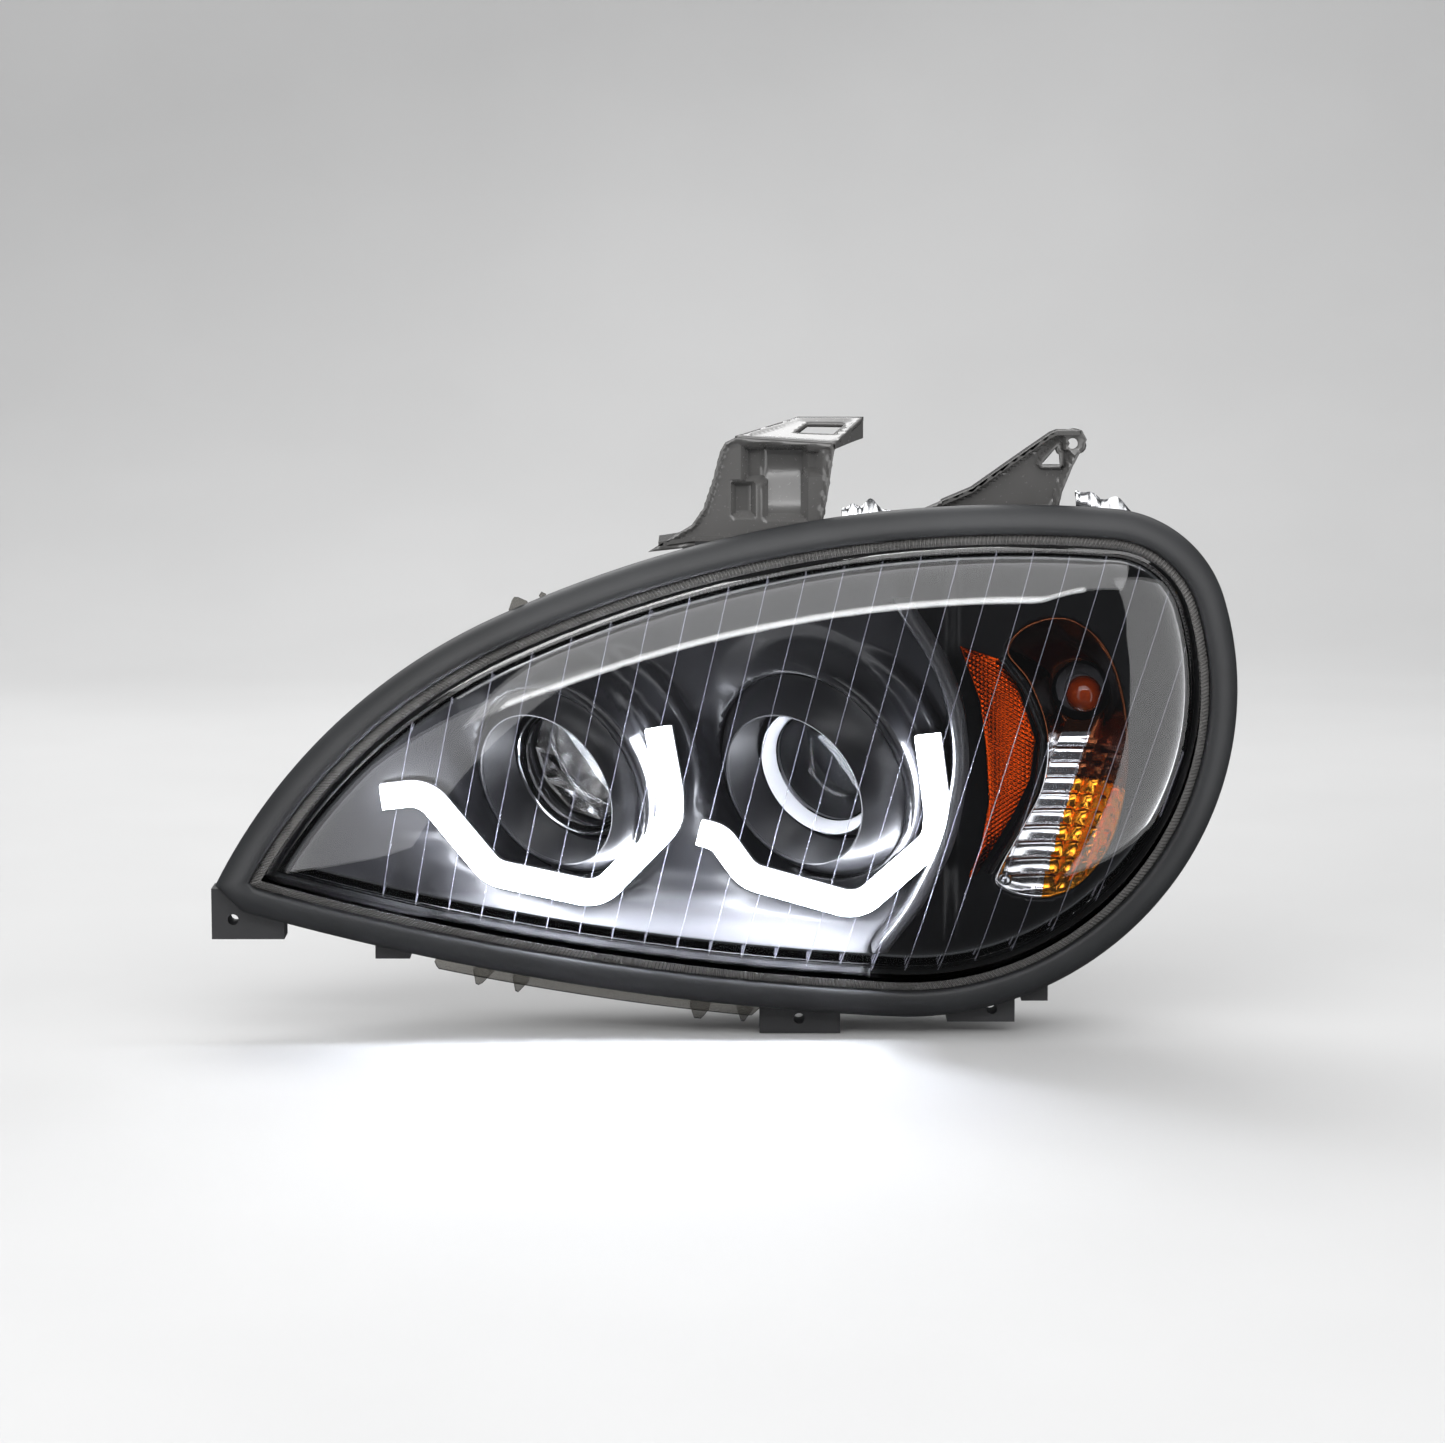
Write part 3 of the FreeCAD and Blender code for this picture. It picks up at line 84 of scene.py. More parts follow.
# The dome's rings shrink towards this x, and are then moved by the shift.
SCALE_X = -9.0
DOME_EDGE = -128.0
DOME_RISE = 39.6
DOME_POWER = 2.6
DOME_INSET = 25.5
DOME_SHIFT = (1.0, 4.0)


def arc_chain():
    """Centre, radius, first heading and sweep of each arc of the outline."""
    x, z, heading = TIP_X, TIP_Z, FIRST_HEADING
    arcs = []
    for radius, sweep in ARCS:
        sweep = math.radians(sweep)
        cx = x + radius * math.sin(heading)
        cz = z - radius * math.cos(heading)
        arcs.append((cx, cz, radius, heading, sweep))
        heading -= sweep
        x = cx - radius * math.sin(heading)
        z = cz + radius * math.cos(heading)
    return arcs


CHAIN = arc_chain()


def on_arc(arc, heading, inset):
    reach = arc[2] - inset
    return np.array((arc[0] - reach * math.sin(heading), arc[1] + reach * math.cos(heading)))


def tip_point(inset):
    """Where the first and last arcs meet when the end is left sharp."""
    first, last = CHAIN[0], CHAIN[-1]
    centre = np.array(first[:2])
    ra, rb = first[2] - inset, last[2] - inset
    gap = np.array(last[:2]) - centre
    span = np.linalg.norm(gap)
    along = (ra * ra - rb * rb + span * span) / (2 * span)
    height = math.sqrt(max(ra * ra - along * along, 0))
    unit = gap / span
    side = np.array((-unit[1], unit[0]))
    ends = [centre + unit * along + side * height * sign for sign in (1, -1)]
    return min(ends, key=lambda p: p[0])


def tip_ends(inset):
    """The two corners of the short edge at the pointed end, moved inwards."""
    first, last = CHAIN[0], CHAIN[-1]
    a = on_arc(last, last[3] - last[4], 0)
    b = on_arc(first, first[3], 0)
    along = (b - a) / np.linalg.norm(b - a)
    inward = np.array((along[1], -along[0]))

    def meet(arc, start):
        centre = np.array(arc[:2])
        reach = arc[2] - inset
        middle = (centre - start) @ along
        off = np.linalg.norm(centre - start - along * middle)
        half = math.sqrt(max(reach * reach - off * off, 0))
        ends = [start + along * (middle - half), start + along * (middle + half)]
        return min(ends, key=lambda p: np.linalg.norm(p - start))

    return meet(last, a + inward * inset), meet(first, b + inward * inset)


def outline(inset, step=4.0, sharp=True):
    """Points round the outline moved inwards; the count depends only on step."""
    first, last = CHAIN[0], CHAIN[-1]
    if sharp:
        finish = start = tip_point(inset)
    else:
        finish, start = tip_ends(inset)
    points = []
    for index, arc in enumerate(CHAIN):
        h_in, h_out = arc[3], arc[3] - arc[4]
        if index == 0:
            h_in = math.atan2(arc[0] - start[0], start[1] - arc[1])
        if index == len(CHAIN) - 1:
            h_out = math.atan2(arc[0] - finish[0], finish[1] - arc[1])
            while h_out > h_in:
                h_out -= 2 * math.pi
        count = max(int(arc[2] * arc[4] / step), 4)
        for k in range(count):
            points.append(on_arc(arc, h_in + (h_out - h_in) * k / count, inset))
    points.append(finish)
    return np.array(points)


def flat_loop(inset, y, step=4.0, sharp=True):
    flat = outline(inset, step, sharp)
    return np.column_stack((flat[:, 0], np.full(len(flat), y), flat[:, 1]))


def dome_loop(inset, share, rise):
    """One ring of the dome: the edge scaled by share and pushed forward."""
    loop = flat_loop(inset, DOME_EDGE - rise * (1 - share ** DOME_POWER) ** (1 / DOME_POWER))
    loop[:, 0] = (loop[:, 0] - SCALE_X) * share + SCALE_X + DOME_SHIFT[0]
    loop[:, 2] = loop[:, 2] * share + DOME_SHIFT[1]
    return loop


def evenly(loop, count):
    """The closed loop as count points at an even pitch."""
    closed = np.vstack((loop, loop[:1]))
    length = np.concatenate(([0], np.cumsum(np.hypot(*np.diff(closed, axis=0).T))))
    places = np.linspace(0, length[-1], count, endpoint=False)
    return np.column_stack([np.interp(places, length, closed[:, i]) for i in (0, 1)])


def sides_of(points):
    """The corners of an outline and the unit normal of the side after each."""
    run = np.roll(points, -1, axis=0) - points
    length = np.hypot(run[:, 0], run[:, 1])
    keep = length > 1e-6
    return points[keep], np.column_stack((-run[:, 1], run[:, 0]))[keep] / length[keep, None]


EDGE_CORNERS, EDGE_NORMALS = sides_of(outline(DOME_INSET, 3.0) - (SCALE_X, 0))
EDGE_REACH = (EDGE_NORMALS * EDGE_CORNERS).sum(1)


def dome_share(x, z):
    """How far out a point lies on the dome: 0 at the crown, 1 on the edge."""
    here = np.array((x - SCALE_X - DOME_SHIFT[0], z - DOME_SHIFT[1]))
    return float(((EDGE_NORMALS * here).sum(1) / EDGE_REACH).max())


def dome_y(x, z, wall=0.0):
    share = min(max(dome_share(x, z), 0.0), 1.0)
    return DOME_EDGE + wall - DOME_RISE * (1 - share ** DOME_POWER) ** (1 / DOME_POWER)


# -------- mesh helpers

def mesh_piece(name, points, faces, material, smooth=True, sharp=None, body="lamp_body", slot=None):
    """A mesh from millimetre points that rides on one body; edges over sharp degrees stay crisp."""
    mesh = bpy.data.meshes.new(name)
    data = [tuple(float(c) * MM for c in p) for p in points]
    mesh.from_pydata(data, [], [tuple(int(i) for i in f) for f in faces])
    mesh.validate()
    work = bmesh.new()
    work.from_mesh(mesh)
    bmesh.ops.remove_doubles(work, verts=work.verts, dist=1e-6)
    bmesh.ops.dissolve_degenerate(work, edges=work.edges, dist=1e-7)
    bmesh.ops.recalc_face_normals(work, faces=work.faces)
    for face in work.faces:
        face.smooth = smooth
    work.to_mesh(mesh)
    work.free()
    piece = bpy.data.objects.new(name, mesh)
    bpy.context.collection.objects.link(piece)
    mesh.materials.append(material)
    if sharp is not None:
        mesh.set_sharp_from_angle(angle=math.radians(sharp))
    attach(piece, body)
    return piece


def sheet_wall(piece, wall, offset=-1):
    """Gives a sheet its thickness in millimetres."""
    thick = piece.modifiers.new("sheet_wall", "SOLIDIFY")
    thick.thickness = wall * MM
    thick.offset = offset


def ring_faces(rings, count, closed=True, wrap=False):
    """Quads between successive loops of count points each."""
    faces = []
    last = rings if wrap else rings - 1
    span = count if closed else count - 1
    for r in range(last):
        a = r * count
        b = ((r + 1) % rings) * count
        for k in range(span):
            n = (k + 1) % count
            faces.append((a + k, a + n, b + n, b + k))
    return faces


def add_run(points, faces, loops):
    """Adds a capped bar, skinned over small loops, to the points and faces of a piece."""
    base, count = len(points), len(loops[0])
    last = base + (len(loops) - 1) * count
    for loop in loops:
        points.extend(loop)
    faces.extend(tuple(base + i for i in face) for face in ring_faces(len(loops), count))
    faces.append(tuple(range(base + count - 1, base - 1, -1)))
    faces.append(tuple(range(last, last + count)))


def loft_piece(name, loops, material, wrap=True, caps=False, **options):
    """A skin over loops with equal counts; wrap joins the last loop to the first."""
    count = len(loops[0])
    faces = ring_faces(len(loops), count, True, wrap)
    if caps:
        faces.append(tuple(range(count - 1, -1, -1)))
        base = (len(loops) - 1) * count
        faces.append(tuple(range(base, base + count)))
    return mesh_piece(name, np.vstack(loops), faces, material, **options)


# -------- optical axes

YAW = math.radians(36.6)
PITCH = math.radians(17.2)
AHEAD = np.array((
    -math.sin(YAW) * math.cos(PITCH),
    -math.cos(YAW) * math.cos(PITCH),
    -math.sin(PITCH),
))
RAISED = np.array((0, AHEAD[2], -AHEAD[1]))
RAISED = RAISED / np.linalg.norm(RAISED)
ACROSS = np.cross(RAISED, AHEAD)
SEATS = {"high": np.array((-122.0, -108.0, -2.0)), "low": np.array((26.0, -108.0, -2.0))}


def optic_point(side, a, b, t):
    """A point a across, b up and t ahead of a projector's lens seat."""
    return SEATS[side] + ACROSS * a + RAISED * b + AHEAD * t


def optic_loop(side, radius, t, count=96, phase=0.0):
    turns = [2 * math.pi * (k + phase) / count for k in range(count)]
    return np.array([optic_point(side, radius * math.cos(a), radius * math.sin(a), t) for a in turns])


def lathe(name, side, profile, material, count=96, **options):
    """A turned piece on a projector's axis from (radius, height) pairs."""
    return loft_piece(name, [optic_loop(side, r, t, count) for r, t in profile], material, **options)


# -------- materials

def new_material(name):
    made = bpy.data.materials.new(name)
    made.use_nodes = True
    made.node_tree.nodes.clear()
    return made, made.node_tree


def link(source, output, target, socket):
    source.id_data.links.new(source.outputs[output], target.inputs[socket])


def surfaced(made, shader):
    """The material, once its last shader is on the surface."""
    out = made.node_tree.nodes.new("ShaderNodeOutputMaterial")
    link(shader, 0, out, "Surface")
    return made


def main_shader(name, colour, rough, metallic=0.0):
    """A material with its main shader already on the surface."""
    made, tree = new_material(name)
    shader = tree.nodes.new("ShaderNodeBsdfPrincipled")
    shader.inputs["Base Color"].default_value = (*colour, 1)
    shader.inputs["Roughness"].default_value = rough
    shader.inputs["Metallic"].default_value = metallic
    return surfaced(made, shader), tree, shader


def noise(tree, scale, detail=4.0, roughness=0.55, stretch=None):
    source = tree.nodes.new("ShaderNodeTexCoord")
    made = tree.nodes.new("ShaderNodeTexNoise")
    made.inputs["Scale"].default_value = scale
    made.inputs["Detail"].default_value = detail
    made.inputs["Roughness"].default_value = roughness
    if stretch is None:
        link(source, "Object", made, "Vector")
    else:
        mapping = tree.nodes.new("ShaderNodeMapping")
        mapping.inputs["Scale"].default_value = stretch
        link(source, "Object", mapping, "Vector")
        link(mapping, "Vector", made, "Vector")
    return made


def tint(tree, shader, source, output, low, high, start=0.35, stop=0.65):
    """Colours the shader from low to high by the source."""
    made = tree.nodes.new("ShaderNodeValToRGB")
    for element, place, colour in zip(made.color_ramp.elements, (start, stop), (low, high)):
        element.position = place
        element.color = (*colour, 1)
    link(source, output, made, "Fac")
    link(made, "Color", shader, "Base Color")


def vary(tree, shader, source, socket, low, high):
    """Varies one value of the shader from low to high by the source."""
    made = tree.nodes.new("ShaderNodeMapRange")
    made.inputs["To Min"].default_value = low
    made.inputs["To Max"].default_value = high
    link(source, "Fac", made, "Value")
    link(made, "Result", shader, socket)


def relief(tree, shader, source, strength, distance):
    """Raises the surface by the source."""
    made = tree.nodes.new("ShaderNodeBump")
    made.inputs["Strength"].default_value = strength
    made.inputs["Distance"].default_value = distance
    link(source, "Fac", made, "Height")
    link(made, "Normal", shader, "Normal")


def scaled(colour, factor):
    return tuple(min(c * factor, 1) for c in colour)


def moulded(name, colour, rough, grain, depth=0.00004, shade=0.18, specular=0.5):
    """Moulded plastic or rubber: fine grain, a faint flow in the colour and the sheen."""
    made, tree, shader = main_shader(name, colour, rough)
    shader.inputs["Specular IOR Level"].default_value = specular
    tint(tree, shader, noise(tree, 14.0, 5.0), "Fac", scaled(colour, 1 - shade), scaled(colour, 1 + shade))
    fine = noise(tree, grain, 3.0)
    vary(tree, shader, fine, "Roughness", rough - 0.06, rough + 0.08)
    relief(tree, shader, fine, 0.35, depth)
    return made


def satin_painted_glow(name, dark, pale, high, low):
    """Satin plastic that is paler on the shelf at the foot of the trim: painted glow in place of the light
    the guides throw on the shelf.
    """
    made, tree, shader = main_shader(name, dark, 0.31)
    shader.inputs["Specular IOR Level"].default_value = 0.32
    place = tree.nodes.new("ShaderNodeTexCoord")
    split = tree.nodes.new("ShaderNodeSeparateXYZ")
    link(place, "Object", split, "Vector")
    share = tree.nodes.new("ShaderNodeMapRange")
    share.inputs["From Min"].default_value = high
    share.inputs["From Max"].default_value = low
    link(split, "Z", share, "Value")
    # Painted glow: the colour ramps from dark to pale down the shelf, standing in for the light from the
    # guides above it.
    tint(tree, shader, share, "Result", dark, pale, 0.0, 1.0)
    relief(tree, shader, noise(tree, 1500.0, 2.0), 0.1, 0.000002)
    return made


def metal(name, colour, rough, brushed=False, grain=600.0, wear=0.08):
    """Bare or plated metal with fine scratches and slight smudges."""
    made, tree, shader = main_shader(name, colour, rough, 1.0)
    fine = noise(tree, grain, 3.0, 0.5, (1, 1, 14) if brushed else (1, 1, 1))
    tint(tree, shader, noise(tree, 22.0, 6.0), "Fac", scaled(colour, 1 - wear), colour)
    vary(tree, shader, fine, "Roughness", max(rough - 0.04, 0.02), rough + 0.08)
    if brushed:
        relief(tree, shader, fine, 0.15, 0.00002)
    return made


def mixed(tree, first, second):
    mix = tree.nodes.new("ShaderNodeMixShader")
    tree.links.new(first.outputs[0], mix.inputs[1])
    tree.links.new(second.outputs[0], mix.inputs[2])
    return mix


def clear(name, tone, rough, strength, haze, ior=1.5):
    """Thin clear plastic or glass: sees straight through, reflects by angle."""
    made, tree = new_material(name)
    through = tree.nodes.new("ShaderNodeBsdfTransparent")
    through.inputs["Color"].default_value = (*tone, 1)
    gloss = tree.nodes.new("ShaderNodeBsdfGlossy")
    gloss.inputs["Color"].default_value = (strength, strength, strength, 1)
    vary(tree, gloss, noise(tree, 9.0, 5.0), "Roughness", rough, rough + 0.035)
    angle = tree.nodes.new("ShaderNodeFresnel")
    angle.inputs["IOR"].default_value = ior
    last = mixed(tree, through, gloss)
    link(angle, "Fac", last, "Fac")
    if haze > 0:
        cloud = tree.nodes.new("ShaderNodeBsdfDiffuse")
        cloud.inputs["Color"].default_value = (0.8, 0.82, 0.85, 1)
        last = mixed(tree, last, cloud)
        last.inputs["Fac"].default_value = haze
    return surfaced(made, last)


def ridge_plastic(name, colour, alpha, rough, painted_glint):
    """Clear ridges that catch the light against the dark inside; their faint bluish emission is a painted
    glint.
    """
    made, tree, shader = main_shader(name, colour, rough)
    vary(tree, shader, noise(tree, 30.0, 3.0), "Alpha", alpha * 0.55, min(alpha * 1.45, 1))
    # Painted glint: a faint bluish-white emission on ridges that are no lamp.
    shader.inputs["Emission Color"].default_value = (0.85, 0.87, 1.0, 1)
    shader.inputs["Emission Strength"].default_value = painted_glint
    return made


def glowing(name, colour, strength):
    """A lit diffuser with a slight unevenness along it."""
    made, tree, shader = main_shader(name, (0.95, 0.95, 0.97), 0.3)
    vary(tree, shader, noise(tree, 60.0, 2.0), "Emission Strength", strength * 0.9, strength * 1.1)
    shader.inputs["Emission Color"].default_value = (*colour, 1)
    return made


def coloured_clear(name, colour, rough):
    """Coloured clear plastic with a moulded sparkle."""
    made, tree, shader = main_shader(name, colour, rough)
    shader.inputs["Coat Weight"].default_value = 0.35
    shader.inputs["Coat Roughness"].default_value = 0.08
    tint(tree, shader, noise(tree, 40.0), "Fac", scaled(colour, 0.6), scaled(colour, 1.35))
    return made


MOULDED = (
    ("housing_black", (0.034, 0.034, 0.036), 0.42, 700),
    ("satin_silver", (0.05, 0.05, 0.053), 0.28, 1500, 0.000002, 0.1, 0.6),
    ("gasket_rubber", (0.024, 0.025, 0.027), 0.5, 1100, 0.00003),
    ("sealant", (0.09, 0.09, 0.095), 0.7, 400),
    ("bezel_black", (0.005, 0.005, 0.0055), 0.3, 1500, 0.000003, 0.18, 0.28),
    ("bezel_satin", (0.015, 0.015, 0.0165), 0.33, 1500, 0.000002, 0.15, 0.3),
    # The next row paints the low lens ring's bright reflection into a pale white colour in place of
    # chrome.
    ("ring_satin", (0.78, 0.78, 0.81), 0.16, 900, 0.000001, 0.06, 0.9),
    ("board", (0.85, 0.86, 0.86), 0.4, 500),
    ("bracket_grey", (0.1, 0.098, 0.096), 0.24, 500, 0.000004, 0.1, 0.8),
    ("nylon", (0.82, 0.8, 0.74), 0.45, 500),
    ("cap_rubber", (0.05, 0.05, 0.052), 0.6, 800, 0.00006),
    ("bulb_plastic", (0.09, 0.09, 0.1), 0.45, 600),
)
METALS = (
    ("driver_alloy", (0.62, 0.63, 0.65), 0.35),
    ("chrome", (0.9, 0.9, 0.92), 0.09),
    ("bowl_metal", (0.95, 0.94, 0.93), 0.1),
    ("chrome_soft", (0.85, 0.85, 0.87), 0.14),
    # An amber copy of the bowl's chrome: a painted reflection of the amber bulb on the lower facets.
    ("amber_chrome", (1.0, 0.38, 0.03), 0.16),
    # A dark brown copy of the bowl's chrome: painted shade on the upper part of the bowl.
    ("smoked_chrome", (0.16, 0.05, 0.02), 0.14),
    ("amber_blade", (0.5, 0.055, 0.003), 0.1),
    ("steel", (0.6, 0.61, 0.63), 0.22, True),
    ("alloy", (0.55, 0.56, 0.58), 0.38, False, 300),
)
CLEARS = (
    ("clear_lens", (0.97, 0.975, 0.985), 0.012, 1.0, 0.0, 1.48),
    ("lens_edge", (0.5, 0.49, 0.47), 0.12, 0.8, 0.02),
    ("clear_glass", (0.97, 0.975, 0.98), 0.008, 0.16, 0.0, 1.3),
)
# The last value of each row is a painted glint: an emission strength on ridges that are no lamp.
RIDGES = (
    ("lens_rib", (0.22, 0.215, 0.21), 0.7, 0.2, 0.0),
    ("lens_ridge", (0.72, 0.72, 0.86), 0.28, 0.25, 0.05),
)
MAT = {row[0]: make(*row) for make, rows in (
    (moulded, MOULDED), (metal, METALS), (clear, CLEARS), (ridge_plastic, RIDGES)) for row in rows}
# The shelf material carries painted glow: paler towards its foot, where the guides light it.
MAT["shelf_painted_glow"] = satin_painted_glow("shelf_painted_glow", (0.02, 0.02, 0.022), (0.2, 0.2, 0.21), -0.074, -0.096)
MAT["guide_white"] = glowing("guide_white", (0.9, 0.93, 1.0), 55.0)
MAT["amber_glass"] = coloured_clear("amber_glass", (0.16, 0.018, 0.001), 0.08)


# -------- lens

DOME_RINGS = 44
LENS_WALL = 3.0
FLANGE_FRONT, FLANGE_BACK = -112.1, -109.0


def dome_loops(inset, rise):
    """Rings from the edge of the dome to its crown, evenly turned."""
    shares = [math.cos(math.pi / 2 * k / DOME_RINGS) ** (2 / DOME_POWER) for k in range(DOME_RINGS)]
    return [dome_loop(inset, max(share, 0.004), rise) for share in shares]


def build_lens():
    """The clear dome, its skirt and its flange as one closed skin."""
    loops = [flat_loop(19.5, -112)] + dome_loops(DOME_INSET, DOME_RISE)
    loops += dome_loops(DOME_INSET + LENS_WALL, DOME_RISE - 2.4)[::-1]
    loops += [flat_loop(22.5, -112), flat_loop(22.5, -109)]
    loops += [flat_loop(1.5, -109, sharp=False), flat_loop(1.5, -112, sharp=False)]
    count = len(loops[0])
    faces = ring_faces(len(loops), count, wrap=True)
    crowns = (DOME_RINGS, DOME_RINGS + 1)
    del faces[crowns[0] * count:crowns[1] * count]
    faces += [tuple(range(r * count, (r + 1) * count)) for r in crowns]
    lens = mesh_piece("lens_shell", np.vstack(loops), faces, MAT["clear_lens"], sharp=40,
                      slot="clear_lens")
    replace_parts(lens, "lens")


def build_lens_strip():
    """The lower strip and the small tabs that stand out past the gasket."""
    below = ((-209, -9, -6), (-186, -173, -11), (-162, -150, -11), (-54, -39, -11), (-25, -14, -11))
    above = ((-162, -150, -6), (-144, -139, -6))
    inner = outline(1.0, 2.0, False)
    points, faces = [], []
    for x0, x1, inset in below + above:
        low = (x0, x1, inset) in below
        outer = outline(inset, 2.0, False)
        chosen = [k for k in range(len(inner)) if x0 <= outer[k][0] <= x1 and (outer[k][1] < 0) == low]
        loops = []
        for k in chosen:
            taper = min(1.0, (outer[k][0] - x0) / 6.0 + 0.15, (x1 - outer[k][0]) / 6.0 + 0.15)
            root, edge = inner[k], inner[k] + (outer[k] - inner[k]) * taper
            loops.append([(p[0], y, p[1]) for p, y in ((root, FLANGE_FRONT), (edge, FLANGE_FRONT),
                                                       (edge, FLANGE_BACK), (root, FLANGE_BACK))])
        add_run(points, faces, loops)
    mesh_piece("lens_strip", points, faces, MAT["lens_edge"], smooth=False, slot="clear_lens")


def build_lens_ribs():
    """Fine ribs round the foot of the dome, one tooth for each two and a half millimetres."""
    teeth = 620
    tooth = np.where(np.isin(np.arange(teeth * 4) % 4, (1, 2)), 1.1, 0.0)
    loops = []
    for inset, y in ((17.8, -119.5), (23.0, -123.4), (23.0, -122.0), (17.8, -118.1)):
        flat = evenly(outline(inset, 1.0), teeth * 4)
        loops.append(np.column_stack((flat[:, 0], y - tooth, flat[:, 1])))
    loft_piece("lens_skirt_ribs", loops, MAT["lens_rib"], smooth=False, slot="clear_lens")


def build_lens_lines():
    """Fine slanted ridges on the inner face of the dome."""
    points, faces = [], []
    width, height, lines = 0.3, 0.45, 23
    for index in range(lines):
        foot = -232 + 20.4 * index
        slant = math.tan(math.radians(10 + 9 * index / (lines - 1)))
        loops = []
        for z in np.arange(-135, 140, 3.0):
            x = foot + (z + 60) * slant
            if dome_share(x, z) < 0.975:
                y = dome_y(x, z) + LENS_WALL
                loops.append([(x - width, y, z), (x, y + height, z), (x + width, y, z), (x, y - 0.15, z)])
        if len(loops) > 3:
            add_run(points, faces, loops)
    mesh_piece("lens_lines", points, faces, MAT["lens_ridge"], slot="clear_lens")


# -------- gasket

GASKET_SECTION = (
    (0.3, -112.3), (0.06, -113.2), (0.4, -115.2), (1.6, -117.6), (3.6, -120.1), (6.2, -122.3),
    (9.2, -124.0), (12.2, -124.9), (14.6, -125.0), (16.4, -124.5), (17.2, -123.4), (17.5, -121.8),
    (17.4, -116.0), (17.5, -112.3),
)


def build_gasket():
    """The rubber ring, with a mitred seam at the pointed end."""
    loops = [flat_loop(inset, y, 3.0, False) for inset, y in GASKET_SECTION]
    gasket = loft_piece("gasket_ring", loops, MAT["gasket_rubber"], sharp=50, slot="gasket_rubber")
    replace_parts(gasket, "gasket")


# -------- mouth of the turn bowl

MOUTH_CORNERS = (
    (139, 70), (153, 50), (163.5, 20), (161, -12), (149, -38), (136, -62), (134, -72), (146, -79),
    (166, -81), (186, -72), (202, -52), (211, -24), (214, 8), (210, 44), (198, 74), (176, 90), (152, 86),
)


def closed_curve(corners, count):
    """Even points on a smooth closed curve through the corners."""
    made = []
    total = len(corners)
    for i in range(total):
        a, b, c, d = (np.array(corners[(i + k) % total], float) for k in (-1, 0, 1, 2))
        for k in range(12):
            t = k / 12
            made.append(0.5 * (2 * b + (c - a) * t + (2 * a - 5 * b + 4 * c - d) * t * t
                               + (3 * b - a - 3 * c + d) * t ** 3))
    return evenly(np.array(made), count)


MOUTH = closed_curve(MOUTH_CORNERS, 200)


# -------- bezel

FLOOR = -96.0
# For each pod: radius of its seam, how far ahead of the lens seat it lies, and the width of the blend.
SEAM = {"high": (61.0, 14.0, 24.0), "low": (67.4, 6.0, 26.0)}


def seam_frame(side):
    """Centre of the seam circle and the inverse of its flattened axes."""
    radius, t, width = SEAM[side]
    centre = SEATS[side] + AHEAD * t
    flat = np.array(((ACROSS[0], RAISED[0]), (ACROSS[2], RAISED[2])))
    return radius, width, centre, np.linalg.inv(flat)


SEAM_FRAMES = {side: seam_frame(side) for side in SEAM}


def pod_reading(side, x, z):
    """Distance outside the seam, its angle and the depth of the seam there."""
    radius, width, centre, inverse = SEAM_FRAMES[side]
    a, b = inverse @ (x - centre[0], z - centre[2])
    reach = math.hypot(a, b)
    angle = math.atan2(b, a)
    depth = centre[1] + radius * (ACROSS[1] * math.cos(angle) + RAISED[1] * math.sin(angle))
    return reach - radius, angle, depth


def ease(value):
    value = min(max(value, 0.0), 1.0)
    return value * value * (3 - 2 * value)


BEZEL_INSET = 25.0
RIM_CORNERS, RIM_NORMALS = sides_of(outline(BEZEL_INSET, 3.0))


def edge_distance(x, z):
    """Distance inwards from the bezel's outer edge."""
    return -float(((np.array((x, z)) - RIM_CORNERS) * RIM_NORMALS).sum(1).max())


WALL_LINE = ((70, 104), (90, 77), (104.5, 45), (109, 8), (100.5, -40), (78, -84), (56, -108))


def partition_x(z):
    """Where the wall between the right pod and the turn lamp stands."""
    xs = [x for x, _ in WALL_LINE][::-1]
    zs = [z for _, z in WALL_LINE][::-1]
    return sum(float(np.interp(z + step, zs, xs)) for step in (-12, -6, 0, 6, 12)) / 5


def shelf_depth(x, z, edge):
    """The shelf under the guides: it comes forward to the bottom edge."""
    if z > -40 or x > 110:
        return FLOOR
    left = ease((x + 232) / 40)
    right = ease((partition_x(z) + 1 - x) / 4)
    if edge < 28:
        front = -127.5 + 0.93 * edge - 0.0121 * edge * edge
    else:
        front = -110.9 + 14.9 * ease((edge - 28) / 26)
    return FLOOR + (front - FLOOR) * left * right


# Steps of the moving optics along their axis, as (front of the step, radius kept free round it).
SWINGS = ((-9.0, 48.5), (-25.0, 50.0), (-45.0, 58.0))
SWING_GAP = 9.5
SWING_FADE = 11.0
# The floor of the trim left of the turn lamp stands this much ahead of FLOOR, clear of the carrier.
POD_LIFT = 5.5


def clear_of_optics(x, z, depth):
    """The same depth, or one further forward where the moving optics swing behind the trim."""
    depth -= POD_LIFT * ease((112 - x) / 10) * ease((depth - FLOOR + 12) / 12)
    for side in ("high", "low"):
        inverse = SEAM_FRAMES[side][3]
        for front, radius in SWINGS:
            centre = SEATS[side] + AHEAD * front
            a, b = inverse @ (x - centre[0], z - centre[2])
            spare = math.hypot(a, b) - radius
            if spare > SWING_FADE:
                continue
            limit = centre[1] + ACROSS[1] * a + RAISED[1] * b - SWING_GAP
            if depth > limit:
                depth += (limit - depth) * ease(1 - max(spare, 0.0) / SWING_FADE)
    return depth


TRIM_EDGE = -117.5


